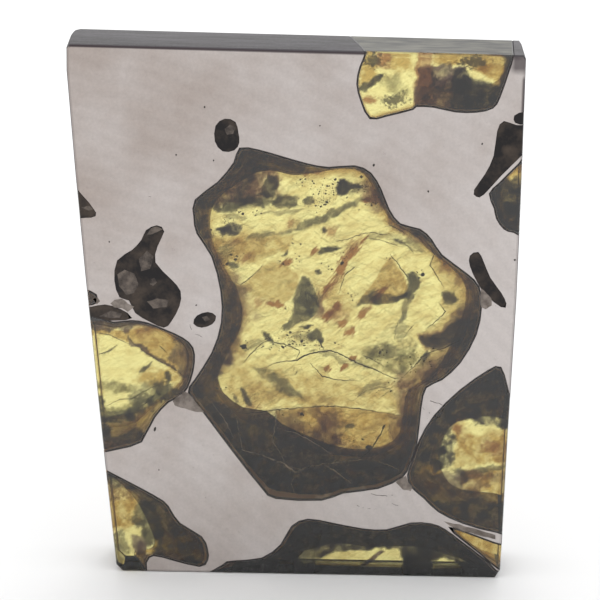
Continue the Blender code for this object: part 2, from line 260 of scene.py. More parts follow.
# Painted shade: dark bands along the top edge and at the top right corner of the front, for the dark the edges reflect
for darkness, ways in PAINTED_EDGE_SHADES:
    stain = front
    for way, start, full in ways:
        reach = add(metal, "VectorMath", {0: place, 1: way}, operation="DOT_PRODUCT").outputs[1]
        reach = add(metal, "MapRange", {0: reach, 1: start, 2: full}).outputs[0]
        stain = add(metal, "Math", {0: stain, 1: reach}, operation="MULTIPLY").outputs[0]
    stain = add(metal, "Math", {0: stain, 1: darkness}, operation="MULTIPLY").outputs[0]
    tone = add(metal, "Mix", {0: stain, 6: tone, 7: colour(PAINTED_EDGE_SHADE)}, data_type="RGBA").outputs[2]
polish = add(metal, "MapRange", {0: grain_size, 1: 0.3, 2: 0.7, 3: 0.27, 4: 0.37}).outputs[0]
relief = add(metal, "Bump", {"Height": grain_size, "Strength": 0.04, "Distance": 0.00002}).outputs[0]
polish = add(metal, "Math", {0: sawn, 1: 0.3, 2: polish}, operation="MULTIPLY_ADD").outputs[0]
bare = add(metal, "MapRange", {0: sawn, 3: 1.0, 4: 0.1}).outputs[0]
surface(metal, {"Base Color": tone, "Metallic": bare, "Roughness": polish, "Normal": relief})

bm = copy_of("nickel_iron_matrix")
sink_front(bm)
finish("metal", bm, metal, replaces=["nickel_iron_matrix"])


# Olivine crystals
# Gem-clear olivine grown in the molten metal and cut through with it, so its two broad faces are polished flat.
# Its sides keep the rounded shape of the grain, and lie against the metal.
CRYSTALS = (
    "olivine_center",
    "olivine_top",
    "olivine_left",
    "olivine_left_bead",
    "olivine_bottom_left",
    "olivine_bottom",
    "olivine_bottom_wedge",
    "olivine_lower_right",
    "olivine_right_edge",
)
REFRACTION = 1.67
GLASS_GROWTH = 0.16
RIND_INNER = 0.12
RIND_OUTER = 0.27
RIND_DEPTH = 0.005
FLUSH = 0.06
ALIKE = 0.85
SAME_SIDE = 0.99
LEAST_LEAN = 0.5
SLIVER = 1e-7
NO_LENGTH = 1e-6
GROUND_SHADE_TONES = ("#24231F", "#5C5A50")
WALL_RUST_AND_GLOW = ("#A8805C", "#FFE8BC")
WALL_RIM = "#1E1613"
# The slab's cut edges, top, foot, right and left: which way each one faces, and how far out a wall comes to it
CUT_EDGES = (
    ((0.0, 0.0, 1.0), 51.7),
    ((0.0, 0.0, -1.0), -0.35),
    ((1.0, 0.0, -0.0146), 20.4),
    ((-1.0, 0.0, -0.0935), 16.75),
)

bm = bmesh.new()
for cad_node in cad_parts.values():
    bm.from_mesh(cad_node.data)
bmesh.ops.scale(bm, vec=(1 / MM,) * 3, verts=bm.verts)
hull = bmesh.ops.convex_hull(bm, input=bm.verts)
bmesh.ops.delete(bm, geom=hull["geom_interior"] + hull["geom_unused"], context="VERTS")
polished = BVHTree.FromBMesh(bm)
bm.free()


def is_wall(face):
    """Whether a face lies against the metal, and not on a sawn or polished side of the slab."""
    _, normal, _, distance = polished.find_nearest(face.calc_center_median())
    return distance > FLUSH or face.normal.dot(normal) < ALIKE


def growth(vert):
    """How a corner moves for each millimetre that the walls grow, so that it stays on the polished sides it is on."""
    walls = Vector()
    sides = []
    for face in vert.link_faces:
        if face.calc_area() < SLIVER:
            continue
        if is_wall(face):
            walls += face.normal * math.sqrt(face.calc_area())
        elif all(face.normal.dot(side) < SAME_SIDE for side in sides):
            sides.append(face.normal.copy())
    if walls.length < NO_LENGTH:
        return Vector()
    walls.normalize()
    way = walls
    if len(sides) == 1:
        way = walls - sides[0] * walls.dot(sides[0])
    elif len(sides) > 1:
        way = sides[0].cross(sides[1])
        if way.dot(walls) < 0:
            way = -way
    if way.length < NO_LENGTH:
        return Vector()
    way = way.normalized()
    return way / max(way.dot(walls), LEAST_LEAN)


def keep_inside(bm, depth):
    """Puts each corner that stands out of the slab, or less than this depth inside it, back to that depth."""
    for vert in bm.verts:
        place, normal, _, _ = polished.find_nearest(vert.co)
        if (vert.co - place).dot(normal) > -depth:
            vert.co = place - normal * depth


def grow_walls(bm, amount):
    """Moves the walls of a grain outwards, towards the metal or into it."""
    bm.normal_update()
    moves = {vert: growth(vert) for vert in bm.verts}
    for vert, way in moves.items():
        vert.co += way * amount
    keep_inside(bm, 0.0)


# Olivine of gem quality: refractive index 1.67, clear, and yellow-green through its own depth from its iron. Where the
# top edge cuts it, the coarse grinding left a frosted side with strokes, which lets no light through; its dark grey is
# painted shade, like the sawn edges of the metal.
olivine = new_material("polished_olivine")
facing = add(olivine, "SeparateXYZ", {0: add(olivine, "TexCoord").outputs["Normal"]}).outputs[2]
ground = add(olivine, "MapRange", {0: facing, 1: 0.9, 2: 0.96}).outputs[0]
place = add(olivine, "TexCoord").outputs["Object"]
strokes = add(olivine, "Mapping", {"Vector": place, "Scale": (0.25 / MM, 1.2 / MM, 1.0)}).outputs[0]
# Painted shade: the ground top is painted dark grey with strokes, to match the sawn top of the metal
cut = mottled(olivine, strokes, 1.0, 5.0, 0.6, 0.4, 0.66, *GROUND_SHADE_TONES)
tone = add(olivine, "Mix", {0: ground, 6: WHITE, 7: cut}, data_type="RGBA").outputs[2]
haze = add(olivine, "Math", {0: ground, 1: 0.45}, operation="MULTIPLY").outputs[0]
depth = add(olivine, "VolumeAbsorption", {"Color": (0.82, 0.753, 0.047, 1.0), "Density": 190.0}).outputs[0]
surface(olivine, {
    "Base Color": tone,
    "Metallic": ground,
    "Roughness": haze,
    "IOR": REFRACTION,
    "Transmission Weight": 1.0,
    "Specular IOR Level": 0.06,
}, depth)

# The grain wall where the olivine meets the metal: a skin of iron oxide and fine troilite, mottled rust brown, half
# shiny from inside the crystal and nearly black where it comes out at the polished face. Its tone is painted pale,
# and paler towards the back face, as painted light for the light that comes through the crystal from behind.
wall = new_material("iron_stained_grain_wall")
coords = add(wall, "TexCoord").outputs["Object"]
place = add(wall, "Mapping", {"Vector": coords, "Scale": (1 / MM,) * 3}).outputs[0]
layers = add(wall, "Mapping", {"Vector": place, "Scale": (0.6, 0.8, 0.6)}).outputs[0]
crust = add(wall, "TexNoise", {"Vector": layers, "Scale": 1.0, "Detail": 6.0, "Roughness": 0.65}).outputs[0]
crust = add(wall, "MapRange", {0: crust, 1: 0.38, 2: 0.66}).outputs[0]
across = add(wall, "SeparateXYZ", {0: place}).outputs[1]
# Painted light: the wall grows paler towards the back face, where the light comes in through the crystal
backlight_glow = add(wall, "MapRange", {0: across, 1: -3.0, 2: 3.2, 3: -0.45, 4: 0.45}).outputs[0]
crust = add(wall, "Math", {0: crust, 1: backlight_glow}, operation="ADD", use_clamp=True).outputs[0]
rusty, pale = WALL_RUST_AND_GLOW
tone = add(wall, "Mix", {0: crust, 6: colour(rusty), 7: colour(pale)}, data_type="RGBA").outputs[2]
buried = add(wall, "Math", {0: across}, operation="ABSOLUTE").outputs[0]
buried = add(wall, "MapRange", {0: buried, 1: 3.34, 2: 3.48}).outputs[0]
for outward, reach in CUT_EDGES:
    side = add(wall, "VectorMath", {0: place, 1: outward}, operation="DOT_PRODUCT").outputs[1]
    side = add(wall, "Math", {0: side, 1: reach}, operation="GREATER_THAN").outputs[0]
    buried = add(wall, "Math", {0: buried, 1: side}, operation="MAXIMUM").outputs[0]
tone = add(wall, "Mix", {0: buried, 6: tone, 7: colour(WALL_RIM)}, data_type="RGBA").outputs[2]
shine = add(wall, "MapRange", {0: buried, 3: 0.4, 4: 0.0}).outputs[0]
surface(wall, {"Base Color": tone, "Roughness": 0.4, "Metallic": shine})

for grain in CRYSTALS:
    bm = copy_of(grain)
    grow_walls(bm, GLASS_GROWTH)
    finish(grain + "_crystal", bm, olivine, replaces=[grain])

    bm = copy_of(grain)
    bm.normal_update()
    step = bm.verts.layers.float_vector.new("growth")
    for vert in bm.verts:
        vert[step] = growth(vert)
    bmesh.ops.delete(bm, geom=[face for face in bm.faces if not is_wall(face)], context="FACES")
    for vert in bm.verts:
        vert.co += vert[step] * RIND_INNER
    outside = bmesh.ops.extrude_face_region(bm, geom=bm.faces[:], use_keep_orig=True)
    for vert in outside["geom"]:
        if isinstance(vert, bmesh.types.BMVert):
            vert.co += vert[step] * (RIND_OUTER - RIND_INNER)
    keep_inside(bm, RIND_DEPTH)
    bmesh.ops.recalc_face_normals(bm, faces=bm.faces)
    finish(grain + "_rim", bm, wall)


# Healed fractures in the olivine
# Old cracks that healed inside the crystals are curved films of rust, troilite specks and tiny fluid drops. They lie
# at several depths and dim the light that comes through, olive where they are thin. The wide dark areas next to the
# walls, and the darkened margin along them, stand for the dark walls seen through the crystal: partly their rust and
# partly painted shade.
# A film's grid: its cell, how far outside the crystal's box it starts, how much wider and taller than the box it is,
# and how far inside the wall its rim ends
FILM_STEP = 0.16
FILM_START = 0.5
FILM_SPARE = (1.0, 2.0)
FILM_INSET = 0.01
CENTERED = (0.5, 0.5, 0.5)
# What each stain lets through of white light: the olivine itself adds the yellow
# SHADOW is partly painted shade: the dark of the walls seen through the crystal, besides small troilite flakes
SHADOW = "#36303C"
OLIVE = "#5A584C"
UMBER = "#74627A"
BROWN = "#957A7A"
RUST = "#A87C5C"
ORANGE = "#B48C74"
AMBER = "#CBB48C"
GREEN = "#A2A08E"
FRAY_SEED = 1
# Without a seed, this module's vector noise starts from the clock and frays the stains anew in each run
noise.seed_set(FRAY_SEED)


def sight(x, z, depth):
    """The place at this depth in the stone that is seen at x and z on its front face."""
    face = Vector((x, FRONT, z + FOOT_DROP))
    ray = (face - VIEWPOINT).normalized() / REFRACTION
    ray.y = math.sqrt(1.0 - ray.x ** 2 - ray.z ** 2)
    return face + ray * (depth / ray.y)


def glass_of(grain):
    """The closed shape of a crystal's glass for distances, with its lowest and highest corner."""
    bm = copy_of(grain)
    grow_walls(bm, GLASS_GROWTH)
    tree = BVHTree.FromBMesh(bm)
    low = Vector([min(vert.co[axis] for vert in bm.verts) for axis in range(3)])
    high = Vector([max(vert.co[axis] for vert in bm.verts) for axis in range(3)])
    bm.free()
    return tree, low, high


def stand_in(tree, place):
    """How deep inside a closed shape a place is, and the nearest place on the shape."""
    near, normal, _, distance = tree.find_nearest(place)
    _, way_out, _, _ = tree.ray_cast(place, Vector((0.0, -1.0, 0.0)))
    inside = way_out is not None and way_out.y < 0.0
    return (distance if inside else -distance), near, normal


def depth_inside(points, outline):
    """How far inside an outline each point lies. Points outside it give negative values."""
    start = np.array(outline, dtype=float).reshape(-1, 2)
    run = np.roll(start, -1, axis=0) - start
    offset = points[:, None] - start
    share = np.clip((offset * run).sum(axis=2) / (run * run).sum(axis=1), 0.0, 1.0)
    gap = np.linalg.norm(offset - share[..., None] * run, axis=2).min(axis=1)
    height = points[:, 1, None] - start[:, 1]
    passed = (height < 0.0) != (height < run[:, 1])
    slope = run[:, 0] / np.where(run[:, 1] == 0.0, 1.0, run[:, 1])
    crossed = passed & (offset[..., 0] < height * slope)
    return np.where(crossed.sum(axis=1) % 2 == 1, gap, -gap)


def stain_colours(points, seed, areas):
    """What is left of white light at each point after the film's stains. An area is its pigment, how much light it
    stops, the width of its rim, how far its outline frays, and the x and z of each corner on the front face."""
    fray = []
    for x, z in points:
        coarse = noise.noise_vector(Vector((x * 1.1, z * 1.1, seed)))
        fine = noise.noise_vector(Vector((x * 3.6, z * 3.6, seed)))
        fray.append((coarse + fine * 0.45)[:2])
    fray = np.array(fray)
    patchy = np.clip(0.5 + 1.3 * fray[:, 0] - 0.9 * fray[:, 1], 0.0, 1.0)
    left = np.ones((len(points), 3))
    for pigment, opacity, rim, ragged, outline in areas:
        cover = np.clip(depth_inside(points + fray * ragged, outline) / rim + 0.5, 0.0, 1.0)
        cover = cover * cover * (3.0 - 2.0 * cover) * opacity * (1.0 - min(rim, 0.6) * patchy)
        left *= 1.0 + cover[:, None] * (np.array(colour(pigment)[:3]) - 1.0)
    return left


def film_finish(name, seed, margin, wisps, groups):
    """The film's stains. The margin darkens the film along the wall, partly for the wall's rust and partly as painted
    shade: it is a pigment, how much light it stops and how wide it is. Each wisp has its pigment, its strength, the
    noise where it starts and is full, and its length, width and tilt. The painted areas come from the film's own
    colours. Each group of ovals has its pigment, its strength, how soft and ragged its edges are, the length, width and
    tilt of its grain, and its ovals as x, z, length, width, tilt."""
    made = new_material(name)
    spot_map = add(made, "UVMap", uv_map="reading").outputs[0]
    coarse = add(made, "TexNoise", {"Vector": spot_map, "W": seed, "Scale": 0.45, "Detail": 3.0}, noise_dimensions="4D")
    drift = add(made, "VectorMath", {0: coarse.outputs["Color"], 1: CENTERED}, operation="SUBTRACT")
    place = add(made, "VectorMath", {0: drift.outputs[0], 1: (1.6, 1.6, 0.0), 2: spot_map}, operation="MULTIPLY_ADD")
    place = place.outputs[0]
    edge = add(made, "SeparateXYZ", {0: add(made, "UVMap", uv_map="margin").outputs[0]}).outputs[0]
    # The margin darkens the film towards the wall: partly the wall's rust, partly painted shade
    wall_hex, wall_stop, wall_width = margin
    tufts = add(made, "TexNoise", {"Vector": spot_map, "W": seed, "Scale": 0.9, "Detail": 5.0}, noise_dimensions="4D")
    reach = add(made, "Math", {0: tufts.outputs[0], 1: wall_width * 2.0}, operation="MULTIPLY").outputs[0]
    fade = add(made, "MapRange", {0: edge, 1: 0.0, 2: reach, 3: 1.0, 4: 0.0}, interpolation_type="SMOOTHSTEP")
    stop = add(made, "Math", {0: fade.outputs[0], 1: wall_stop}, operation="MULTIPLY").outputs[0]
    tint = add(made, "Mix", {0: stop, 6: WHITE, 7: colour(wall_hex)}, data_type="RGBA").outputs[2]
    for pigment, opacity, lowest, highest, long, wide, tilt in wisps:
        drawn = add(made, "Mapping", {
            "Vector": place,
            "Rotation": (0.0, 0.0, math.radians(tilt)),
            "Scale": (long, wide, 1.0),
        }, vector_type="TEXTURE").outputs[0]
        smoke = add(made, "TexNoise", {
            "Vector": drawn,
            "W": seed + tilt,
            "Scale": 1.0,
            "Detail": 5.0,
            "Roughness": 0.6,
        }, noise_dimensions="4D").outputs[0]
        mask = add(made, "MapRange", {0: smoke, 1: lowest, 2: highest, 3: 0.0, 4: opacity}).outputs[0]
        tint = add(made, "Mix", {0: mask, 6: tint, 7: colour(pigment)}, **FILTER).outputs[2]
    areas = add(made, "Attribute", attribute_name="stain").outputs[0]
    flecks = add(made, "TexNoise", {"Vector": spot_map, "W": seed, "Scale": 1.5, "Detail": 6.0, "Roughness": 0.7},
                 noise_dimensions="4D").outputs[0]
    flecks = add(made, "MapRange", {0: flecks, 1: 0.36, 2: 0.64, 3: 0.75, 4: 1.8}).outputs[0]
    areas = add(made, "Gamma", {"Color": areas, "Gamma": flecks}).outputs[0]
    tint = add(made, "Mix", {0: 1.0, 6: tint, 7: areas}, **FILTER).outputs[2]
    for pigment, opacity, soft, ragged, size, ovals in groups:
        cover = None
        for x, z, long, wide, tilt in ovals:
            local = add(made, "Mapping", {
                "Vector": place,
                "Location": (x, z, 0.0),
                "Rotation": (0.0, 0.0, math.radians(tilt)),
                "Scale": (long, wide, 1.0),
            }, vector_type="TEXTURE")
            ball = add(made, "TexGradient", {"Vector": local.outputs[0]}, gradient_type="SPHERICAL").outputs[1]
            if cover is not None:
                ball = add(made, "Math", {0: ball, 1: cover}, operation="MAXIMUM").outputs[0]
            cover = ball
        long, wide, tilt = size
        fibres = add(made, "Mapping", {
            "Vector": spot_map,
            "Rotation": (0.0, 0.0, math.radians(tilt)),
            "Scale": (long, wide, 1.0),
        }, vector_type="TEXTURE").outputs[0]
        grit = add(made, "TexNoise", {
            "Vector": fibres,
            "W": seed + long,
            "Scale": 1.0,
            "Detail": 6.0,
            "Roughness": 0.6,
        }, noise_dimensions="4D")
        bite = add(made, "MapRange", {0: grit.outputs[0], 1: 0.32, 2: 0.68, 3: 0.0, 4: ragged}).outputs[0]
        left = add(made, "Math", {0: cover, 1: bite}, operation="SUBTRACT").outputs[0]
        mask = add(made, "MapRange", {0: left, 1: 0.0, 2: soft, 3: 0.0, 4: opacity}, interpolation_type="SMOOTHSTEP")
        tint = add(made, "Mix", {0: mask.outputs[0], 6: tint, 7: colour(pigment)}, **FILTER).outputs[2]
    # The shader lets through the root of its base colour, so the colour is multiplied by itself
    tint = add(made, "Mix", {0: 1.0, 6: tint, 7: tint}, **FILTER).outputs[2]
    surface(made, {"Base Color": tint, "Roughness": 0.0, "IOR": 1.0, "Transmission Weight": 1.0})
    return made


def film(grain, depth, wave, seed, margin, wisps, groups, areas):
    """A film that fills the crystal from wall to wall at one depth, with its wave, the seed of its noise, its margin,
    wisps and groups of stains, and its painted areas. Its first UV map holds what is read on the front face, its second
    the distance to the wall, and its colours the areas."""
    name = "%s_film_%d" % (grain, round(depth * 10))
    material = film_finish(name, seed, margin, wisps, groups)
    tree, low, high = glass_of(grain)
    wide = high.x - low.x + FILM_SPARE[0]
    tall = high.z - low.z + FILM_SPARE[1]
    bm = bmesh.new()
    stain = bm.verts.layers.float_color.new("stain")
    bmesh.ops.create_grid(bm, x_segments=int(wide / FILM_STEP), y_segments=int(tall / FILM_STEP), size=0.5)
    reading = {}
    for vert in bm.verts:
        x = low.x - FILM_START + (vert.co.x + 0.5) * wide
        z = low.z - FOOT_DROP - FILM_START + (vert.co.y + 0.5) * tall
        swell = noise.noise(Vector((x * 0.16, z * 0.16, seed)))
        ripple = noise.noise(Vector((x * 0.6, z * 0.6, seed)))
        vert.co = sight(x, z, depth + wave * (swell + 0.4 * ripple))
        reading[vert] = (x, z)
    inside = {vert: stand_in(tree, vert.co) for vert in bm.verts}
    gone = [face for face in bm.faces if all(inside[vert][0] < 0 for vert in face.verts)]
    bmesh.ops.delete(bm, geom=gone, context="FACES")
    bmesh.ops.delete(bm, geom=[vert for vert in bm.verts if not vert.link_faces], context="VERTS")
    seen = bm.loops.layers.uv.new("reading")
    wall_distance = bm.loops.layers.uv.new("margin")
    stains = stain_colours(np.array([reading[vert] for vert in bm.verts]), seed, areas)
    for vert, left in zip(bm.verts, stains):
        vert[stain] = (*left, 1.0)
        distance, near, normal = inside[vert]
        if distance < 0:
            vert.co = near - normal * FILM_INSET
        for loop in vert.link_loops:
            loop[seen].uv = reading[vert]
            loop[wall_distance].uv = (max(distance, 0.0), 0.0)
    keep_inside(bm, FILM_INSET)
    finish(name, bm, material)


# Wisps that several films share
MOTTLE = ((AMBER, 0.4, 0.45, 0.7, 2.0, 0.9, 15.0), (GREEN, 0.25, 0.55, 0.72, 1.6, 0.4, -20.0))
SMOKE = ((GREEN, 0.3, 0.5, 0.7, 1.2, 0.3, 28.0), (AMBER, 0.25, 0.5, 0.7, 1.0, 0.5, -30.0))
film("olivine_center", 5.4, 0.5, 1, (AMBER, 0.9, 1.2), (
    (AMBER, 0.6, 0.42, 0.7, 2.6, 1, 20),
    (ORANGE, 0.35, 0.52, 0.75, 1.6, 0.4, 48),
), (
    (AMBER, 0.7, 0.7, 0.5, (1.2, 0.6, 30),
        (
            (-4.8, 32.6, 4.6, 2.4, 10), (2, 17.6, 8, 1.2, -4), (-5.4, 22.6, 2.6, 3, 0), (9, 35.6, 3, 1, -30),
            (3.6, 28, 3, 4.4, 55), (-3, 18.4, 3.4, 2.4, 0), (7.6, 38.4, 1.8, 2.8, 0),
        ),
    ),
), (
    (BROWN, 0.6, 1.2, 0.6, (-7.4, 29.4, -5.4, 28.9, -4.6, 28.4, -4.2, 27, -3.2, 26.8, -3.4, 25.6, -4.6, 25, -5.2,
        23.8, -4.8, 22.4, -5.4, 21, -7.4, 20, -8, 24)),
    (BROWN, 0.95, 0.9, 0.6, (-9, 36.4, -7, 36.4, -5.2, 37, -3.2, 36.8, -1, 37.6, -1.2, 39, -1.8, 40.2, -0.4, 40.4,
        -2.6, 41.4, -5.2, 42, -9.4, 38.4)),
    (BROWN, 0.9, 1, 0.6, (9.8, 20.8, 11.2, 20.6, 12.8, 21.8, 14.6, 22.8, 16.4, 24.2, 17.6, 26, 17.8, 23, 14, 19.4,
        12.6, 19.4, 12.6, 12.8, 11.2, 12.2, 11, 15.2, 10.2, 17.4)),
    (AMBER, 0.6, 0.25, 0.15, (13.2, 32.4, 14.6, 31.7, 15.8, 30.6, 17, 29.6, 17.6, 28.4, 17.6, 26, 17.2, 24.4, 16.4,
        22.8, 15.4, 21.6, 13.8, 20.4, 12.6, 19.6, 11.4, 19.4, 11, 20.2, 12.2, 21.6, 12.9, 22.6, 12.2, 23.6, 11.9,
        24.3, 12.9, 24.8, 13.6, 25.4, 14.6, 26.6, 14, 27.5, 14.3, 28.4, 14.2, 29.4, 13.4, 30.4, 12.9, 31.3)),
    (AMBER, 0.9, 0.2, 0.1, (6.1, 27.25, 6.9, 27.4, 7.8, 27.5, 8.8, 27.4, 9.8, 27.6, 10.8, 28.2, 11, 29, 10.6, 30, 10,
        31, 9.2, 32, 8.4, 30.9, 7.9, 29.9, 7.2, 28.8, 6.6, 28.1)),
    (AMBER, 1, 0.2, 0.2, (-1.4, 16.5, 0.4, 16.7, 3, 17, 6, 16.9, 9, 16.5, 11.6, 16, 12.2, 14, 11.6, 12, 8, 11.6, 5,
        11.8, 2, 13, -1.2, 14.8)),
    (BROWN, 0.8, 1, 0.6, (-1.2, 16.4, 1.2, 16.6, 0.6, 15.2, 2.6, 14.8, 3.4, 15.8, 4.8, 15.4, 4.6, 13.8, 6.2, 13, 9,
        12.9, 11, 13.4, 11.2, 15.6, 9.6, 16.2, 11.8, 16, 12, 12, 5, 11.4, -1.6, 13.4)),
    (AMBER, 0.6, 0.2, 0.12, (-6.6, 29.4, -4.9, 29, -3.5, 30.2, -3, 30.9, -2, 31.4, -0.6, 31, 0.6, 30, 0.4, 28.6, -0.2,
        27.6, -1, 27.2, -3, 27.8, -4.6, 28.4)),
    (AMBER, 0.75, 0.5, 0.4, (-7.6, 33.6, -5, 34, -2.4, 34.2, 0, 33.9, -0.4, 32.6, -2, 31.8, -3.2, 31.2, -4.4, 31.4,
        -5.8, 31, -7, 30.4, -7.6, 31.6)),
    (AMBER, 0.6, 0.9, 0.5, (-5.4, 21.4, -2, 21, 2, 20.4, 6, 19.6, 9.6, 19.8, 10.8, 18.4, 10.6, 16.8, 6, 17.2, 0, 17,
        -4, 16.6, -6.4, 18.4)),
))
film("olivine_center", 3.4, 0.5, 5, (AMBER, 0.8, 0.8), (
    (GREEN, 0.5, 0.5, 0.68, 2.4, 0.4, 24),
    (GREEN, 0.5, 0.52, 0.7, 1.8, 0.3, -26),
), (
    (OLIVE, 0.55, 0.5, 0.65, (0.8, 0.3, 20),
        (
            (9.6, 22.6, 2.8, 1.4, -10), (8, 19, 3.4, 1, 20), (-1, 36.2, 4.4, 0.5, 5), (-3.6, 23.2, 2.4, 1, 10),
            (1, 24, 2.6, 1.4, 0), (-5.6, 35.6, 2.6, 0.8, 0), (-6.4, 32.2, 1.6, 1.6, 0), (11.6, 33.4, 2.6, 0.7, -25),
            (4.4, 21.9, 6, 0.7, -14), (10.4, 24.6, 1.6, 2, 0), (5.6, 38.6, 2.4, 1.2, 10),
        ),
    ),
), (
    (OLIVE, 0.95, 0.35, 0.45, (-8.2, 36.2, -6.6, 36.1, -5.2, 36.4, -3.6, 36.6, -2, 36.7, -0.6, 36.6, 0.3, 36.9, 0.7,
        37.5, 0.2, 37.8, -0.8, 38, -1.6, 37.8, -2.6, 37.3, -3.6, 37.5, -4.4, 37.8, -5.4, 37.6, -6.2, 37.4, -7, 36.9,
        -8.2, 37.2)),
    (BROWN, 0.9, 0.5, 0.6, (-7.6, 37.4, -6.2, 38.6, -5.4, 40.2, -4.2, 41.4, -3, 40.4, -3, 39, -2, 37.8, -4.4, 37.2)),
    (OLIVE, 0.7, 0.7, 0.6, (-8, 37.2, -6, 37.8, -5.2, 38.6, -4.6, 40, -3.2, 40.6, -3.8, 39.4, -4.6, 38.2, -5.4, 37.2)),
    (OLIVE, 1, 0.2, 0.3, (-3.4, 37.9, -2.9, 38.4, -2.7, 39.2, -2.4, 39.9, -1.8, 39.8, -1.4, 39.2, -1.5, 38.4, -1.8,
        37.8, -2.6, 37.4)),
    (OLIVE, 0.8, 0.22, 0.35, (-0.2, 34.5, 0.6, 35.1, 1.5, 35.6, 2.6, 36, 3.6, 36.5, 4.6, 37, 6.2, 37.7, 7, 37.7, 6.4,
        37.3, 5, 36.6, 4, 36, 3.2, 35.4, 2.4, 35.1, 1.4, 34.9, 0.4, 34.5)),
    (OLIVE, 0.7, 0.3, 0.4, (-4.6, 33.6, -3.4, 34.2, -2.2, 34.4, -1, 34.3, -0.2, 34.8, -0.4, 34.1, -2.2, 33.6, -3.6,
        33.4)),
    (OLIVE, 0.45, 0.3, 0.35, (6.6, 33.9, 7.6, 34.5, 9, 34.4, 10.3, 34, 11, 33.4, 11.6, 32.4, 10.6, 33.1, 9, 33.6, 7.8,
        33.8)),
    (OLIVE, 1, 0.14, 0.12, (-2.9, 24.4, -2.2, 24.2, -1.8, 23.6, -1.7, 23.2, -2.2, 23.4, -2.6, 23.8)),
    (OLIVE, 1, 0.3, 0.3, (6.1, 27.25, 6.9, 28.3, 7.6, 28.6, 8.4, 28.3, 9.4, 28.2, 10.4, 28.5, 11, 28.8, 10.7, 28, 9.8,
        27.6, 8.8, 27.35, 7.6, 27.4)),
    (OLIVE, 0.8, 0.25, 0.3, (11.6, 28.5, 11.3, 27.6, 10.9, 26.6, 10.6, 25.4, 10.1, 25.5, 10.4, 26.8, 10.7, 27.9)),
    (BROWN, 0.9, 0.3, 0.4, (11.9, 24.6, 13, 24.6, 14, 24.9, 15, 25.8, 15.6, 27, 17, 27, 17.6, 24.4, 16.2, 23, 15,
        22.9, 13.8, 22.6, 12.8, 22.9, 12.2, 23.6)),
    (OLIVE, 1, 0.25, 0.35, (11.9, 24.4, 13, 24.3, 14, 24.5, 15, 25.4, 15.8, 26.2, 16.6, 25.6, 17.2, 24.4, 16.2, 23.3,
        15, 23.2, 13.8, 22.9, 12.8, 23.1, 12.2, 23.8)),
    (GREEN, 1, 0.8, 0.9, (6.2, 22.4, 8, 23.6, 11.4, 23.4, 12.6, 21.8, 10.6, 20.4, 8.6, 20.8, 6.8, 21.4)),
    (OLIVE, 0.75, 0.4, 0.4, (-3.8, 20.9, -2.2, 20.6, -1, 19.9, 0.4, 18.7, 1.5, 17.7, 0, 17.9, -1.6, 18.9, -2.8, 19.8)),
    (SHADOW, 0.9, 0.14, 0.12, (-4.9, 18.7, -4.4, 18.5, -3.8, 17.4, -3.6, 16.8, -4.2, 17, -4.6, 17.8)),
    (SHADOW, 0.8, 0.14, 0.12, (-5.6, 18.1, -5.3, 18, -4.9, 17.2, -5.2, 17.1)),
    (SHADOW, 0.9, 0.12, 0.1, (9.4, 33.8, 9.9, 33.8, 10.6, 33.4, 10.1, 33.4, 9.6, 33.5)),
    (BROWN, 0.9, 0.8, 0.6, (5.4, 39, 7.2, 39.6, 8, 38, 8.6, 36.6, 7.4, 36.6, 6.4, 37.6)),
))
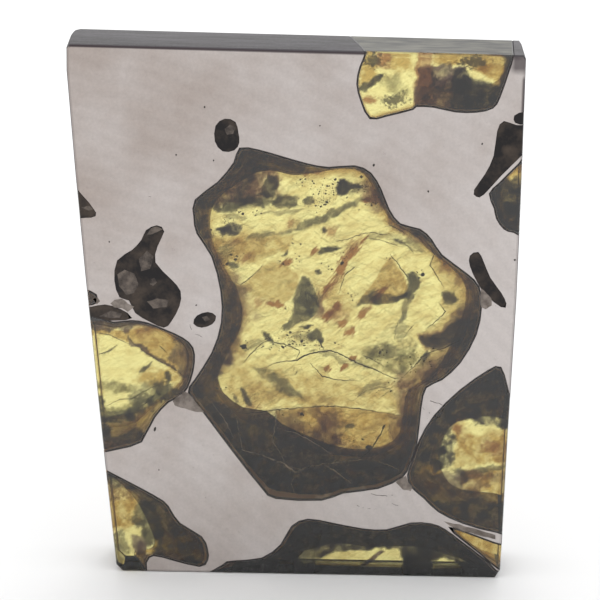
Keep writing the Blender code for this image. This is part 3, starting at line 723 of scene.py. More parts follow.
film("olivine_center", 0.6, 0.2, 9, (UMBER, 0.5, 0.2), ((AMBER, 0.5, 0.5, 0.7, 1.4, 0.5, 35),), (
    (RUST, 1, 0.4, 0.62, (0.9, 0.14, 52),
        (
            (4.95, 31.35, 4.4, 1, 55), (5.7, 32.2, 2.6, 0.8, 57), (6.6, 33.6, 1.6, 0.4, 60),
            (1.8, 32.3, 1.2, 0.6, 42), (-0.6, 31, 1, 0.6, 40), (8.4, 28.4, 2.2, 0.5, 52), (6.8, 26.6, 2.2, 0.8, 55),
            (7.9, 28, 1.6, 0.7, 52), (3.5, 26.1, 1.4, 1, 40), (4.7, 25.2, 1.2, 0.8, 50), (5.6, 24.4, 1.2, 0.6, 50),
            (5.2, 21.1, 1.2, 0.5, 50), (3.6, 20.9, 0.6, 0.8, 0), (4.4, 27, 1.3, 0.5, 50), (3.4, 28.8, 1.9, 0.5, 54),
            (6, 22.1, 0.8, 0.5, 50), (6.9, 37.5, 1, 0.6, 0), (-1.6, 27, 1.6, 0.7, 0),
        ),
    ),
    (ORANGE, 0.8, 0.7, 0.6, (0.9, 0.25, 52),
        (
            (3.75, 34.4, 1.9, 0.9, 52), (3.4, 28.4, 2.4, 0.8, 56), (4, 26.2, 2.6, 1.8, 40), (1.2, 40.2, 0.6, 1.1, 0),
            (2.2, 40.3, 1.6, 0.6, 0), (-3.2, 27.2, 2.4, 1.2, -10), (-4.6, 26.2, 1.4, 1.6, 0), (7.6, 38, 1.8, 2, 0),
            (10.8, 19.4, 2.2, 1.6, 0), (-5.6, 33.2, 1.9, 0.9, 20), (-4.4, 31.8, 2, 0.8, 30), (-0.3, 35, 1.1, 1.2, 60),
            (11, 17, 1.6, 2.4, 0), (-3.6, 16.9, 2.8, 1, 0), (14.6, 31, 0.8, 1.2, 30), (5.6, 33, 2.4, 1, 58),
        ),
    ),
), (
    (SHADOW, 0.72, 0.6, 0.5, (-10.4, 18.6, -8.4, 18.6, -7, 17, -5.4, 15.8, -3, 15.9, -1.6, 15.8, -1.4, 14.6, 0.4,
        13.9, 2, 13, 3.4, 12.2, 4.6, 11.6, 6, 11.6, 8, 11.7, 9.6, 11.9, 11.4, 12.4, 11.9, 14.2, 12, 16, 12.3, 17.6,
        12.8, 19.2, 14, 19, 13, 10, 4, 6, -3, 6)),
    (UMBER, 0.45, 0.5, 0.5, (-5.2, 16.2, -3, 16.4, -1.2, 16.6, 0.8, 15.6, 2.4, 14.6, 4, 13.4, 4.8, 12.2, 3, 11.4, -1,
        13, -2, 15)),
    (BROWN, 1, 0.6, 0.7, (1.9, 16.7, 5, 16.7, 5.2, 14.4, 5, 13.2, 3.6, 12.4, 1.8, 13.6, 2.6, 15)),
    (BROWN, 0.9, 0.6, 0.7, (9.2, 16.3, 11.8, 16, 11.8, 12.6, 10.2, 12.8, 9.6, 14.6)),
    (UMBER, 0.8, 1, 0.7, (5.4, 11.6, 6.6, 12.6, 8.4, 12.8, 9.8, 12.4, 11, 13.2, 11.2, 16.4, 12.6, 16.4, 12.4, 10, 5,
        10.4)),
    (SHADOW, 0.8, 0.8, 0.5, (-7.6, 16.4, -5.2, 15.4, -4.4, 13, -2.5, 11.8, -0.5, 11.2, 0.6, 10.4, 2, 10.9, 5, 11.4, 7,
        11.7, 9.4, 11.2, 12, 11.6, 13, 9, 4, 6, -3, 6)),
    (SHADOW, 0.5, 0.2, 0.2, (-1.8, 14.8, -0.6, 14, 1.2, 13.2, 3, 12.2, 4.4, 11.8, 4.4, 11.2, 0.8, 10.6, -1, 11.6)),
    (BROWN, 0.7, 1.2, 0.7, (-7.4, 31.4, -5.2, 30, -4.2, 28.6, -4.8, 26.6, -4.6, 24.8, -5.2, 22.8, -5.4, 21.4, -7.2,
        20.8, -8.6, 24, -7.4, 28)),
    (UMBER, 0.85, 0.6, 0.5, (-10, 37.3, -7, 39.6, -5.9, 41.2, -5.6, 43, -3.2, 42.6, -2.6, 41.2, -4.2, 41, -5, 40.4,
        -5.8, 39.4, -6.8, 38.6, -7.9, 37.6, -8.3, 36.2, -8.2, 34.6, -7.8, 33, -7.1, 31.8, -6.5, 30.4, -6, 29.3, -5.4,
        28.9, -5.3, 28, -5.4, 27, -5.3, 26, -5, 25.3, -5.4, 24.6, -5.8, 23.4, -5.8, 22.4, -5.8, 21.2, -6.5, 20.6, -7,
        19.8, -7.4, 18.6, -6.8, 17.6, -5.4, 16, -7, 14.8, -10.4, 17.8, -9.4, 20, -8, 23, -7.4, 28, -9.4, 33)),
    (SHADOW, 0.6, 0.6, 0.4, (-10, 37.3, -7.6, 39, -6.9, 38, -8, 37, -8.3, 35.4, -7.9, 33.4, -9.6, 33.4)),
    (SHADOW, 0.8, 0.4, 0.3, (-7, 40.6, -5.4, 43, -3.6, 42.6, -4.6, 41.6, -5.2, 40.8, -6, 39.8)),
    (UMBER, 0.95, 0.35, 0.4, (-3.6, 42.6, -1, 42, 1.6, 41.4, 1.3, 40.3, 0.4, 40, -0.6, 40.4, -1.8, 40.7, -2.8, 41)),
    (SHADOW, 0.9, 0.25, 0.2, (10.8, 34.9, 11.6, 34.9, 12.6, 34.6, 13.4, 33.8, 13, 33.5, 12, 34.1, 11.2, 34.2)),
    (BROWN, 0.8, 0.35, 0.3, (8.9, 36.6, 9.4, 35.6, 10.4, 34.9, 12, 34.5, 13.2, 33.2, 14.4, 32.2, 13.8, 31.8, 12.6, 33,
        11, 33.8, 9.8, 34.4, 8.8, 35.4)),
    (UMBER, 0.9, 0.3, 0.3, (7, 41, 8.2, 39.6, 9, 37.2, 9.4, 36.2, 8.9, 36.4, 8.2, 37.6, 7.6, 38.8, 6.9, 39.8, 5.6,
        40.6)),
    (UMBER, 0.8, 0.7, 0.4, (18, 30.2, 17.6, 28.8, 17.1, 27.8, 15.6, 27.2, 15.9, 25.4, 16.8, 24.4, 15.6, 23, 14.4,
        21.9, 13.2, 20.7, 12.3, 19.6, 13.6, 18.4, 17, 20.6, 18.6, 24.2, 18.8, 27.4, 18.4, 29.4)),
    (SHADOW, 0.5, 0.4, 0.4, (13.4, 21.2, 14.6, 22.4, 15.8, 23.2, 16.8, 24.6, 17.2, 26.4, 17.8, 26.8, 18.4, 24, 16,
        20.6)),
    (ORANGE, 0.4, 0.25, 0.3, (13.9, 30.6, 14, 31.7, 14.5, 31.6, 14.4, 30.7)),
    (BROWN, 0.6, 0.3, 0.3, (15.2, 29.6, 15.4, 30.9, 16, 30.5, 15.8, 29.2)),
    (BROWN, 0.85, 0.35, 0.3, (16.2, 31, 17.8, 29.6, 18.2, 27.4, 17.3, 27.4, 17, 28.6, 16.4, 29.6)),
    (OLIVE, 1, 0.2, 0.25, (14.2, 28.3, 14.8, 28.8, 15.3, 28.7, 15.6, 28, 15.2, 27.4, 14.5, 27.4)),
    (SHADOW, 0.8, 0.14, 0.2, (4.1, 38.2, 4.2, 39.4, 5, 39.2, 5, 38.3)),
    (OLIVE, 1, 0.14, 0.15, (0.8, 37.3, 1.2, 37.7, 1.7, 37.8, 2, 37.3, 1.6, 36.9, 1, 36.9)),
    (SHADOW, 1, 0.14, 0.3, (-7.6, 34.5, -7, 34.6, -6.4, 34.9, -5.7, 35.1, -5, 34.8, -5, 34, -5.6, 33.8, -6.2, 34,
        -6.7, 33.6, -6.9, 33.9, -7, 34.3)),
    (SHADOW, 0.97, 0.14, 0.2, (4.05, 38.1, 4, 38.8, 4.2, 39.6, 4.6, 39.6, 5, 39.35, 5.9, 39.1, 6.4, 38.8, 5.6, 38.65,
        5.1, 38.4, 4.9, 38, 4.4, 37.9)),
    (OLIVE, 1, 0.12, 0.1, (2.3, 32.25, 2.6, 32.8, 3.3, 33, 4.2, 32.9, 4.7, 32.8, 4, 32.5, 3.2, 32.3, 2.6, 32.1)),
    (OLIVE, 0.6, 0.3, 0.3, (1.2, 29, 1.9, 28.2, 2.1, 27.2, 1.8, 26.2, 0.8, 26, 0.4, 27.4, 0.6, 28.4)),
    (OLIVE, 0.9, 0.14, 0.15, (1.25, 30, 1.6, 29.7, 2, 28.9, 2.2, 28.2, 2.5, 27.4, 2.4, 26.5, 2, 25.9, 1.3, 25.6, 0.6,
        25.2, -0.2, 24.6, -0.8, 24.6, -0.9, 25, -0.3, 25.5, 0.1, 26.3, 0.2, 27.1, 0, 27.6, 0.3, 28.3, 0.5, 29.2, 0.9,
        29.9)),
    (BROWN, 0.9, 0.3, 0.3, (2.2, 29, 2.8, 28, 3, 26.6, 2.6, 25.8, 2, 25.6, 2.3, 26.6, 2.4, 27.6)),
    (OLIVE, 1, 0.14, 0.2, (1.5, 24, 1.9, 24.4, 2.4, 24.8, 2.8, 24.3, 3, 23.7, 2.7, 23.2, 2.4, 23.7, 2, 23.4)),
    (OLIVE, 0.9, 0.12, 0.15, (0.8, 24.9, 1.5, 25.3, 2.1, 25.1, 1.4, 24.7)),
    (OLIVE, 0.95, 0.2, 0.2, (10.9, 30.4, 11.3, 30.6, 11.8, 30.3, 12.1, 29.6, 11.9, 29, 11.4, 28.4, 10.9, 27.9, 10.4,
        28.2, 10.9, 28.8, 11, 29.5)),
    (SHADOW, 0.9, 0.12, 0.12, (12.5, 22.4, 12.9, 22.8, 13.3, 22.4, 12.9, 21.8, 12.5, 21.8)),
    (OLIVE, 0.7, 0.14, 0.12, (7.3, 22.2, 7.7, 22.8, 8.2, 23.4, 8.2, 22.8, 7.9, 22.2, 7.7, 21.9)),
    (OLIVE, 0.8, 0.14, 0.15, (5.2, 15, 5.6, 15.3, 6.4, 15.1, 6, 14.8, 5.4, 14.8)),
    (OLIVE, 0.9, 0.14, 0.15, (-6.2, 31.2, -5.6, 31.3, -5, 31, -5.2, 30.6, -5.8, 30.6)),
    (OLIVE, 1, 0.12, 0.1, (2.1, 30.6, 2.4, 30.7, 2.7, 30.3, 2.5, 30.1, 2.2, 30.2)),
    (OLIVE, 1, 0.12, 0.1, (2.6, 34.6, 2.9, 34.9, 3.2, 34.6, 3, 34.2, 2.7, 34.3)),
    (OLIVE, 1, 0.12, 0.1, (-1.1, 31.9, -0.8, 32.1, -0.6, 32.5, -0.5, 32.1, -0.8, 31.8)),
))
film("olivine_left", 4.8, 0.5, 13, (AMBER, 0.8, 0.5), MOTTLE, (
    (AMBER, 1, 0.6, 0.5, (1, 0.6, 20), ((-12.6, 19.6, 4, 2, 0), (-14, 15, 2.4, 1.8, 20))),
), (
    (AMBER, 1, 0.2, 0.2, (-19.4, 24.4, -16, 24.2, -13.2, 24.8, -11, 23.9, -9.4, 22, -9.2, 19.6, -10.3, 19.7, -13,
        21.5, -15.3, 23, -17, 23.6, -19.4, 24.1)),
    (ORANGE, 0.8, 0.6, 0.5, (-15.2, 24.8, -13.6, 24.9, -13, 24.2, -13.8, 23.4, -15, 23.8)),
    (AMBER, 0.6, 0.4, 0.4, (-14.8, 16.2, -13.4, 17.2, -11.8, 17.6, -12, 16.2, -13.6, 14, -14.8, 14.2)),
))
film("olivine_left", 0.4, 0.1, 15, (BROWN, 0.6, 0.3), SMOKE, (), (
    (UMBER, 0.95, 0.3, 0.3, (-19.8, 25.8, -15, 25.8, -12.8, 25.2, -13.2, 24.6, -15, 24.8, -15.6, 24, -16.4, 24.3,
        -17.4, 24.1, -19.8, 24.4)),
    (UMBER, 0.85, 0.35, 0.45, (-11.3, 23.7, -10.2, 24.2, -9, 22.6, -9, 20.2, -10.2, 20.1, -11.8, 21.5, -11.3, 22.2,
        -10.9, 23)),
    (UMBER, 0.9, 0.14, 0.3, (-15.7, 23.7, -15, 23.1, -14.2, 22.6, -13, 21.8, -11, 20.6, -11, 20.3, -13, 21.4, -14.3,
        22.2, -15.1, 22.7, -15.7, 23.3)),
    (OLIVE, 0.9, 0.5, 0.9, (-15.6, 17.6, -13.6, 19, -11.8, 19.4, -10.8, 18.2, -12.6, 17, -14.6, 15.6)),
    (UMBER, 0.9, 0.3, 0.3, (-10.8, 20.4, -9, 20.4, -9.4, 18.4, -11.2, 17.6, -10.4, 19.2)),
    (OLIVE, 1, 0.14, 0.15, (-12.1, 20, -11.8, 20.3, -11.5, 19.9, -11.4, 19.4, -11.7, 19.2, -12, 19.5)),
    (OLIVE, 0.9, 0.12, 0.15, (-14.5, 20, -14.2, 20.6, -13.7, 20.9, -13.3, 21.3, -13.6, 20.6, -14.1, 20.1)),
    (OLIVE, 0.85, 0.14, 0.2, (-18.5, 21.7, -17.8, 21.9, -17, 22.5, -16.6, 22.7, -17.2, 22.2, -17.8, 21.8)),
    (GREEN, 1, 0.4, 0.4, (-19, 19.4, -16, 18.9, -14.5, 18.7, -14.8, 18.1, -17, 18, -19, 18.2, -19, 16.8, -16.4, 16.6,
        -14, 17.4, -12.6, 18.2, -11.6, 17.8, -13.8, 16.2, -16, 15.6, -19, 15.8)),
    (OLIVE, 0.95, 0.3, 0.5, (-19, 18, -18, 17.2, -17.6, 16.2, -15.4, 16.2, -14.2, 17, -13.8, 17.2, -14.6, 15.8, -15.8,
        15, -17, 15.2, -17.8, 14.8, -19, 14.8)),
    (SHADOW, 0.9, 0.35, 0.5, (-19, 15.2, -17.6, 14.4, -17, 13.6, -16.2, 13.8, -15, 14.4, -13.6, 14, -13.4, 12.6,
        -15.2, 12.6, -17.4, 13, -19, 12.8)),
    (BROWN, 0.9, 0.3, 0.4, (-19, 13.2, -16.6, 13, -14.6, 12.9, -14, 11.6, -19, 11.4)),
))
film("olivine_left_bead", 0.4, 0.1, 16, (OLIVE, 0.8, 0.5), SMOKE, (), ())
film("olivine_top", 4.6, 0.4, 19, (AMBER, 0.8, 0.5), MOTTLE, (
    (AMBER, 1, 0.6, 0.5, (0.8, 0.5, 0), ((6.8, 50, 1.8, 3, 0), (9.6, 50.8, 2.4, 1.6, 0), (17.6, 50.6, 2, 1.2, 0))),
    (ORANGE, 1, 0.6, 0.6, (0.6, 0.6, 0), ((8.2, 50.8, 1.8, 1.4, 0), (7, 47.2, 1.6, 0.8, 0))),
), (
    (ORANGE, 1, 0.3, 0.3, (11.05, 52.4, 11, 46, 12.5, 46, 12.9, 48.5, 12.5, 50.3, 13, 52.4)),
    (AMBER, 1, 0.3, 0.3, (12.4, 52.6, 12.8, 50.6, 15.6, 50.8, 19, 49, 20.4, 50, 20.4, 52.6)),
))
film("olivine_top", 0.4, 0.1, 21, (BROWN, 0.6, 0.3), SMOKE, (
    (OLIVE, 0.9, 0.4, 0.7, (0.3, 0.3, 0), ((9.4, 47.2, 2.4, 1.4, 0), (16.4, 50.9, 2.6, 1, 0), (7, 51, 1.8, 1.4, 0))),
), (
    (OLIVE, 1, 0.14, 0.2, (5.8, 48.2, 6.3, 48.8, 6.9, 48.9, 7.5, 49.6, 8.1, 49.7, 7.9, 49.1, 7.4, 48.6, 6.8, 48.4,
        6.6, 48)),
    (BROWN, 1, 0.2, 0.3, (11.2, 50.4, 12.6, 50.6, 13, 49.4, 12.6, 48.2, 11.2, 48.3)),
    (GREEN, 0.6, 0.5, 0.7, (7.6, 49.6, 9.4, 49.8, 10.4, 48.6, 9.8, 47.6, 8.2, 48.2)),
    (UMBER, 1, 0.2, 0.3, (11.1, 48.5, 12.4, 48.4, 12.6, 46.2, 11, 46.2)),
    (UMBER, 1, 0.3, 0.4, (12.6, 50.5, 13.6, 50.8, 14.6, 50.4, 15.6, 50.6, 15.8, 48.6, 16, 45.6, 12.4, 46, 12.5, 48.6)),
    (BROWN, 0.9, 0.4, 0.4, (12.8, 49.6, 14, 49.4, 15.2, 50, 15.6, 47.6, 13.6, 47, 12.6, 47.6)),
    (SHADOW, 1, 0.3, 0.3, (14.6, 50.2, 15.6, 50.3, 16.6, 49.3, 17.4, 49.2, 18.8, 48.9, 19.3, 50.4, 19.2, 52.4, 21,
        52.4, 20.6, 48, 18, 45, 14.4, 45, 14.5, 47.8)),
    (SHADOW, 1, 0.4, 0.4, (15, 49.4, 16.8, 48.9, 18.6, 48.5, 19, 47, 18, 45, 15.2, 45)),
))
film("olivine_bottom_left", 4.2, 0.4, 25, (AMBER, 0.8, 0.5), MOTTLE, (), (
    (AMBER, 1, 0.5, 0.4, (-18, 9, -15.8, 8.4, -14.4, 7, -14.4, 4.6, -16, 4, -18, 4.4)),
    (BROWN, 0.8, 0.6, 0.5, (-17.8, 9.4, -16, 8.6, -15.2, 7.4, -16.4, 7, -17.8, 7.6)),
))
film("olivine_bottom_left", 0.4, 0.1, 26, (BROWN, 0.7, 0.3), SMOKE, (), (
    (SHADOW, 1, 0.5, 0.4, (-18.2, 10.8, -17.4, 8.6, -15.8, 8.2, -14.6, 7.6, -14.3, 6.4, -12.8, 6, -12.2, 4.4, -12.8,
        2.6, -13.4, 0.6, -13.2, -0.8, -7.4, -0.8, -7, 2.2, -9, 5.4, -12.5, 8)),
    (OLIVE, 1, 0.4, 0.5, (-14.6, 6.8, -12.6, 6.4, -11.8, 3.4, -13.8, 2.2, -14.2, 4, -15.2, 4.8)),
    (OLIVE, 0.8, 0.4, 0.6, (-14.2, 6.4, -12.6, 6.4, -11.8, 3.4, -13.6, 2, -14, 4)),
    (UMBER, 1, 0.3, 0.4, (-15.2, 3.4, -13.9, 3.2, -13.6, 0.6, -14.6, 0.9, -15.2, 2)),
    (OLIVE, 0.7, 0.4, 0.5, (-17.4, 3.6, -16, 3.8, -15.6, 1, -16.6, 0, -17.2, 0.6)),
))
film("olivine_bottom", 4.4, 0.4, 29, (AMBER, 0.8, 0.4), MOTTLE, (), (
    (AMBER, 0.4, 0.4, 0.4, (2.4, -0.6, 8.2, -0.6, 8, 1.4, 4, 2.4, 2.4, 1.2)),
    (AMBER, 1, 0.4, 0.4, (-1, -0.6, 0.8, -0.6, 0.6, 1.4, -1, 1.4)),
))
film("olivine_bottom", 0.4, 0.1, 30, (BROWN, 0.7, 0.3), SMOKE, (), (
    (SHADOW, 1, 0.25, 0.25, (-6, -1.2, -0.9, -1.2, -0.8, 1.2, 0.5, 1.2, 0.8, -1.2, 2.4, -1.2, 2.8, 1.1, 4.2, 2, 6.4,
        2.1, 7.6, 2.2, 8.6, 2.5, 10.8, 2.4, 11.2, 1.4, 11.3, -1.2, 14, -1.2, 14.1, 1.3, 15.4, 1.5, 16.8, 1, 17.2,
        -1.2, 21, -1.2, 20, 3, 14, 6.2, 2, 6.2, -4, 3.4)),
    (SHADOW, 1, 0.25, 0.25, (11.2, 2.6, 11.3, -1.2, 14, -1.2, 14.1, 2.4)),
    (UMBER, 1, 0.14, 0.12, (6.8, 0.6, 7.4, 0.9, 8.2, 1.5, 9, 2.3, 9.4, 2.2, 8.4, 1.2, 7.4, 0.5)),
))
film("olivine_bottom_wedge", 2.4, 0.2, 33, (BROWN, 0.8, 0.3), MOTTLE, (), (
    (AMBER, 1, 0.4, 0.4, (14, 6, 22, 6, 22, 1, 14, 1)),
))
film("olivine_lower_right", 4.8, 0.5, 37, (AMBER, 0.9, 0.8), MOTTLE, (
    (ORANGE, 0.9, 0.6, 0.6, (1, 0.5, 30), ((19.6, 13, 2.2, 1.6, 0), (16.2, 15, 1.4, 1, 0), (17.6, 10.2, 2.4, 0.8, 0))),
), (
    (AMBER, 1, 0.6, 0.5, (15.4, 15.8, 17, 15.8, 16.8, 14.6, 18.4, 14.2, 19.4, 15, 21.4, 15, 21.4, 11.6, 19, 11.6,
        17.6, 11, 16, 11.2, 16, 13.6)),
    (AMBER, 1, 0.6, 0.5, (16.8, 10.6, 21.4, 11.2, 21.4, 8, 18.4, 8, 16.4, 8.8)),
))
film("olivine_lower_right", 0.4, 0.1, 39, (UMBER, 0.8, 0.4), SMOKE, (
    (RUST, 0.9, 0.5, 0.5, (0.8, 0.3, -30), ((13.8, 9, 1.6, 0.9, -30), (16.2, 16.2, 1.8, 0.7, 10))),
), (
    (SHADOW, 1, 0.5, 0.5, (14.4, 17.4, 15.6, 15.8, 16.8, 16, 18, 15.6, 19.4, 15.4, 21.6, 14.6, 21.8, 19, 20.4, 22, 18,
        21.6)),
    (SHADOW, 0.9, 0.6, 0.6, (12.2, 11.6, 15, 11.2, 15.3, 13.4, 15.1, 15.8, 15.6, 18.4, 13.4, 16.6, 12.2, 13.4)),
    (SHADOW, 0.9, 0.6, 0.6, (11, 10, 13, 10.9, 15.3, 10.8, 15.7, 11.4, 15.8, 13.4, 15.5, 15.8, 16.2, 18.4, 13.4, 16.6,
        11.6, 13)),
    (SHADOW, 1, 0.5, 0.5, (12.4, 7, 14, 7.6, 15, 7.4, 17, 8, 18.6, 7.8, 20, 7.4, 21.4, 7.6, 21.4, 3.6, 15, 4.6)),
    (UMBER, 0.9, 0.4, 0.6, (11, 10.2, 13.6, 10.3, 16.6, 10.6, 17.4, 9.9, 16.8, 8.8, 18.2, 8, 15, 7.4, 12.4, 7.6)),
    (OLIVE, 0.7, 0.2, 0.3, (15.6, 10.9, 17, 10.7, 18.6, 11.1, 20.8, 11.4, 20.8, 11, 18.4, 10.4, 16.6, 10.2)),
    (BROWN, 0.8, 0.5, 0.6, (16.6, 10.2, 18.6, 10.4, 21.4, 10.6, 21.4, 9.8, 19.2, 9.2, 18.4, 8, 16.6, 8.4)),
))
film("olivine_right_edge", 3, 0.2, 43, (AMBER, 0.8, 0.5), MOTTLE, (), (
    (AMBER, 1, 0.3, 0.3, (18.6, 43, 22, 43, 22, 34, 18.6, 34)),
))
film("olivine_right_edge", 0.4, 0.1, 44, (BROWN, 0.8, 0.3), SMOKE, (), (
    (SHADOW, 1, 0.4, 0.3, (18.2, 39.2, 19.4, 40.2, 20.2, 39.4, 20.8, 39.6, 22, 39, 22, 34, 18.2, 34)),
    (SHADOW, 0.9, 0.4, 0.3, (18.2, 39.4, 19.4, 40.6, 20.2, 39.8, 20.8, 40.2, 22, 39.4, 22, 37.4, 20.6, 36.6, 20.4, 34,
        18.2, 34)),
    (UMBER, 0.9, 0.3, 0.3, (20.2, 37.6, 22, 38, 22, 34, 20.2, 34)),
))


# Cracks in the olivine
# Open hairline cracks that let in dark rust, so each shows as a fine dark line.
THREAD_STEP = 0.22
THREAD_SIDEWAYS = 0.05
THREAD_DEPTHS = 0.1
THREAD_TIP = 0.35
THREAD_SWELL = 2.5
THREAD_OVERLAP = 1.15
crack_rust = new_material("rust_in_cracks")
surface(crack_rust, {"Base Color": colour("#2A2013"), "Roughness": 0.8})


def pairs(flat):
    """The points of a line or an outline, whose numbers stand one after another, x before z."""
    return list(zip(flat[::2], flat[1::2]))


def stepped(points, stride):
    """The points along a line, at most about a stride apart, without the last one."""
    path = []
    for (x0, z0), (x1, z1) in zip(points, points[1:]):
        steps = max(1, round(math.hypot(x1 - x0, z1 - z0) / stride))
        path += [(x0 + (x1 - x0) * step / steps, z0 + (z1 - z0) * step / steps) for step in range(steps)]
    return path


def threads(name, lines, material, seed):
    """Fine lines inside the stone, each with its depth, its half width and its points on the front face."""
    draw = random.Random(seed)
    bm = bmesh.new()
    for depth, half, line in lines:
        points = pairs(line)
        path = stepped(points, THREAD_STEP) + points[-1:]
        last = len(path) - 1
        joints = []
        for index, (x, z) in enumerate(path):
            side = THREAD_SIDEWAYS if 0 < index < last else 0.0
            x += draw.uniform(-side, side)
            z += draw.uniform(-side, side)
            place = sight(x, z, depth + draw.uniform(-THREAD_DEPTHS, THREAD_DEPTHS))
            taper = min(1.0, THREAD_TIP + THREAD_SWELL * min(index, last - index) / max(last, 1))
            joints.append((place, half * taper * draw.uniform(0.6, 1.2)))
        for (start, start_half), (end, end_half) in zip(joints, joints[1:]):
            run = end - start
            spot = Matrix.Translation((start + end) / 2) @ run.to_track_quat("Z", "Y").to_matrix().to_4x4()
            bmesh.ops.create_cone(bm, cap_ends=True, segments=5, radius1=start_half, radius2=end_half,
                                  depth=run.length * THREAD_OVERLAP, matrix=spot)
    keep_inside(bm, 0.0)
    finish(name, bm, material)


threads("center_cracks", (
    (2, 0.06, (-2.6, 24.2, -1.9, 23.5, -1.2, 23.2, -0.5, 23.1, 0.2, 22.8, 0.8, 22.6, 0.7, 22.1, 0.5, 21.7)),
    (2.2, 0.07, (-2.8, 20.6, -1.6, 21.2, -0.2, 21.5, 0.6, 21.6, 1.2, 22, 2, 22.3, 3, 22.5, 3.8, 22.6, 4.6, 22.3, 5.4,
        21.9, 6.4, 21.4, 7.4, 21, 8.4, 20.6, 9.2, 20.2, 10, 19.9, 10.8, 20.1)),
    (1.8, 0.06, (3.1, 22.6, 2.8, 23.3, 2.5, 23.8)),
    (1.6, 0.06, (6.7, 22.25, 7.4, 22, 7.9, 21.7, 8.4, 21.4, 8.85, 21.1)),
    (2.4, 0.04, (-4.9, 23, -4.4, 22.8, -4, 22.4)),
    (2.4, 0.045, (-4.6, 21.2, -3.8, 22.2, -3.2, 22.8, -2.8, 23.3, -2.2, 23.5)),
    (2.6, 0.05, (1.8, 21.3, 2.2, 20.9, 2.7, 20.4, 3, 20, 3.6, 19.9, 4.3, 19.7, 5, 19.6, 6.4, 19.7)),
    (2, 0.05, (0.3, 20.9, 0.25, 20.5)),
    (2, 0.05, (0.6, 20.5, 0.45, 20.1)),
    (2, 0.05, (1, 20.9, 1.1, 20.6)),
    (2.1, 0.05, (9.2, 32.3, 9.9, 31.4, 10.4, 30.7, 10.9, 30.1, 11, 29.6)),
    (4.2, 0.045, (12.4, 33.8, 13, 33, 13.4, 32.4, 13, 31.3, 13.8, 30, 14.4, 29.1)),
    (4.2, 0.05, (13.9, 27.6, 14.3, 27.1, 14.6, 26.7, 14.1, 26.1, 13.3, 25.4, 12.7, 24.9)),
    (2.6, 0.05, (10.8, 20.2, 11.3, 20.7, 11.8, 21.2, 12.3, 21.8, 12.8, 22.4, 13.4, 22.7, 14.6, 23.1, 16.2, 23.9)),
    (4.6, 0.04, (-2.8, 31.1, -3.1, 30.6, -3.5, 30.2, -4.2, 29.6, -4.9, 29, -5.6, 29.2, -6.6, 29.5)),
    (2.4, 0.04, (4, 33.5, 5, 33.6, 5.6, 33.9, 6.4, 34.2, 7.4, 34.4, 8.6, 34.2, 9.6, 34.4)),
    (2.4, 0.035, (7, 33.8, 8.2, 33.7, 9.4, 33.3, 10.4, 33)),
    (2.2, 0.04, (8.6, 35, 9.2, 35.1, 10, 34.7, 10.8, 34.2)),
    (2.2, 0.035, (10.4, 33.4, 11, 33, 11.4, 32.4)),
    (3, 0.05, (-5.6, 16.3, -4.2, 16.1, -2.5, 16.3, -1, 16.6, 0.4, 16.7, 2.5, 16.95, 4.4, 17, 6.5, 16.8, 8.4, 16.5,
        10.2, 16.2, 11.4, 16)),
    (2, 0.07, (6.9, 11.7, 7.6, 12.4, 8.3, 13.4, 8.9, 14.6, 9.1, 15.2)),
    (1.9, 0.16, (8.9, 14.8, 9.15, 15.2)),
    (4.4, 0.03, (6, 27.25, 7.2, 27.4, 8.6, 27.35, 9.8, 27.6, 10.8, 28.1)),
    (2, 0.04, (4.4, 28.3, 5, 30.2, 5.9, 31)),
    (1.8, 0.05, (4.9, 30.1, 5.4, 30.6, 5.9, 31)),
    (2.6, 0.03, (6, 17.6, 7.2, 18.6, 8.4, 19, 9.6, 18.9)),
    (2.6, 0.03, (8.4, 17.8, 9.2, 18.4, 9.8, 19.2)),
    (2.6, 0.03, (10.2, 25.8, 9.9, 24.8, 9.8, 23.6)),
    (2.6, 0.03, (11.8, 25.6, 11.2, 24.8, 10.6, 23.9)),
), crack_rust, 11)

# Pale brown lines along the edges where the dark lower part of the big crystal has broken into flat steps
pale_ridge = new_material("pale_fracture_ridge")
coords = add(pale_ridge, "TexCoord").outputs["Object"]
tone = mottled(pale_ridge, coords, 1.2 / MM, 5.0, 0.6, 0.4, 0.62, "#3E342E", "#B8A288")
surface(pale_ridge, {"Base Color": tone, "Roughness": 0.5, "Specular IOR Level": 0.3})
threads("center_ridges", (
    (0.45, 0.08, (-4.6, 12.4, -2.5, 11.8, -0.5, 11, 0.6, 10.2, 2, 10.8, 3.4, 11.1, 5, 11.3, 7, 11.6)),
    (0.45, 0.07, (3.4, 11, 4.4, 10.4, 5.4, 9.6, 6.2, 9)),
    (0.45, 0.04, (-1.3, 16, -1.5, 14.5, -1.6, 13.2, -0.8, 12, -0.5, 11.2)),
    (0.45, 0.04, (-5.2, 15.8, -4.9, 14.2, -4.6, 12.6)),
    (0.45, 0.035, (-1.2, 14.6, 0.6, 14.2, 2.4, 13.2, 4.2, 12)),
    (0.45, 0.035, (0.6, 10, 0.2, 9, 0.6, 8)),
    (0.45, 0.035, (8.6, 11.4, 9.8, 11, 10.6, 10.6)),
    (0.45, 0.04, (-7.6, 17.2, -6.4, 15.6, -5.4, 13.6)),
), pale_ridge, 13)

threads("left_cracks", (
    (1, 0.05, (-15.6, 23.6, -15, 22.9, -14.3, 22.4, -13, 21.5, -11, 20.4, -10.2, 19.7)),
    (1, 0.04, (-18.6, 24, -17.2, 23.7, -16.2, 23.2, -15.4, 22.9)),
    (1.2, 0.05, (-18.4, 21.8, -17.5, 22.1, -16.9, 22.6)),
    (1.2, 0.05, (-12.6, 22.8, -11.9, 22.1)),
    (1.4, 0.04, (-17.6, 16.6, -16.4, 17.3, -15.2, 17.4, -13.8, 18.3, -12.6, 18.9)),
    (1.4, 0.04, (-14.6, 16.4, -13.6, 17.2, -12.8, 18.2)),
), crack_rust, 12)


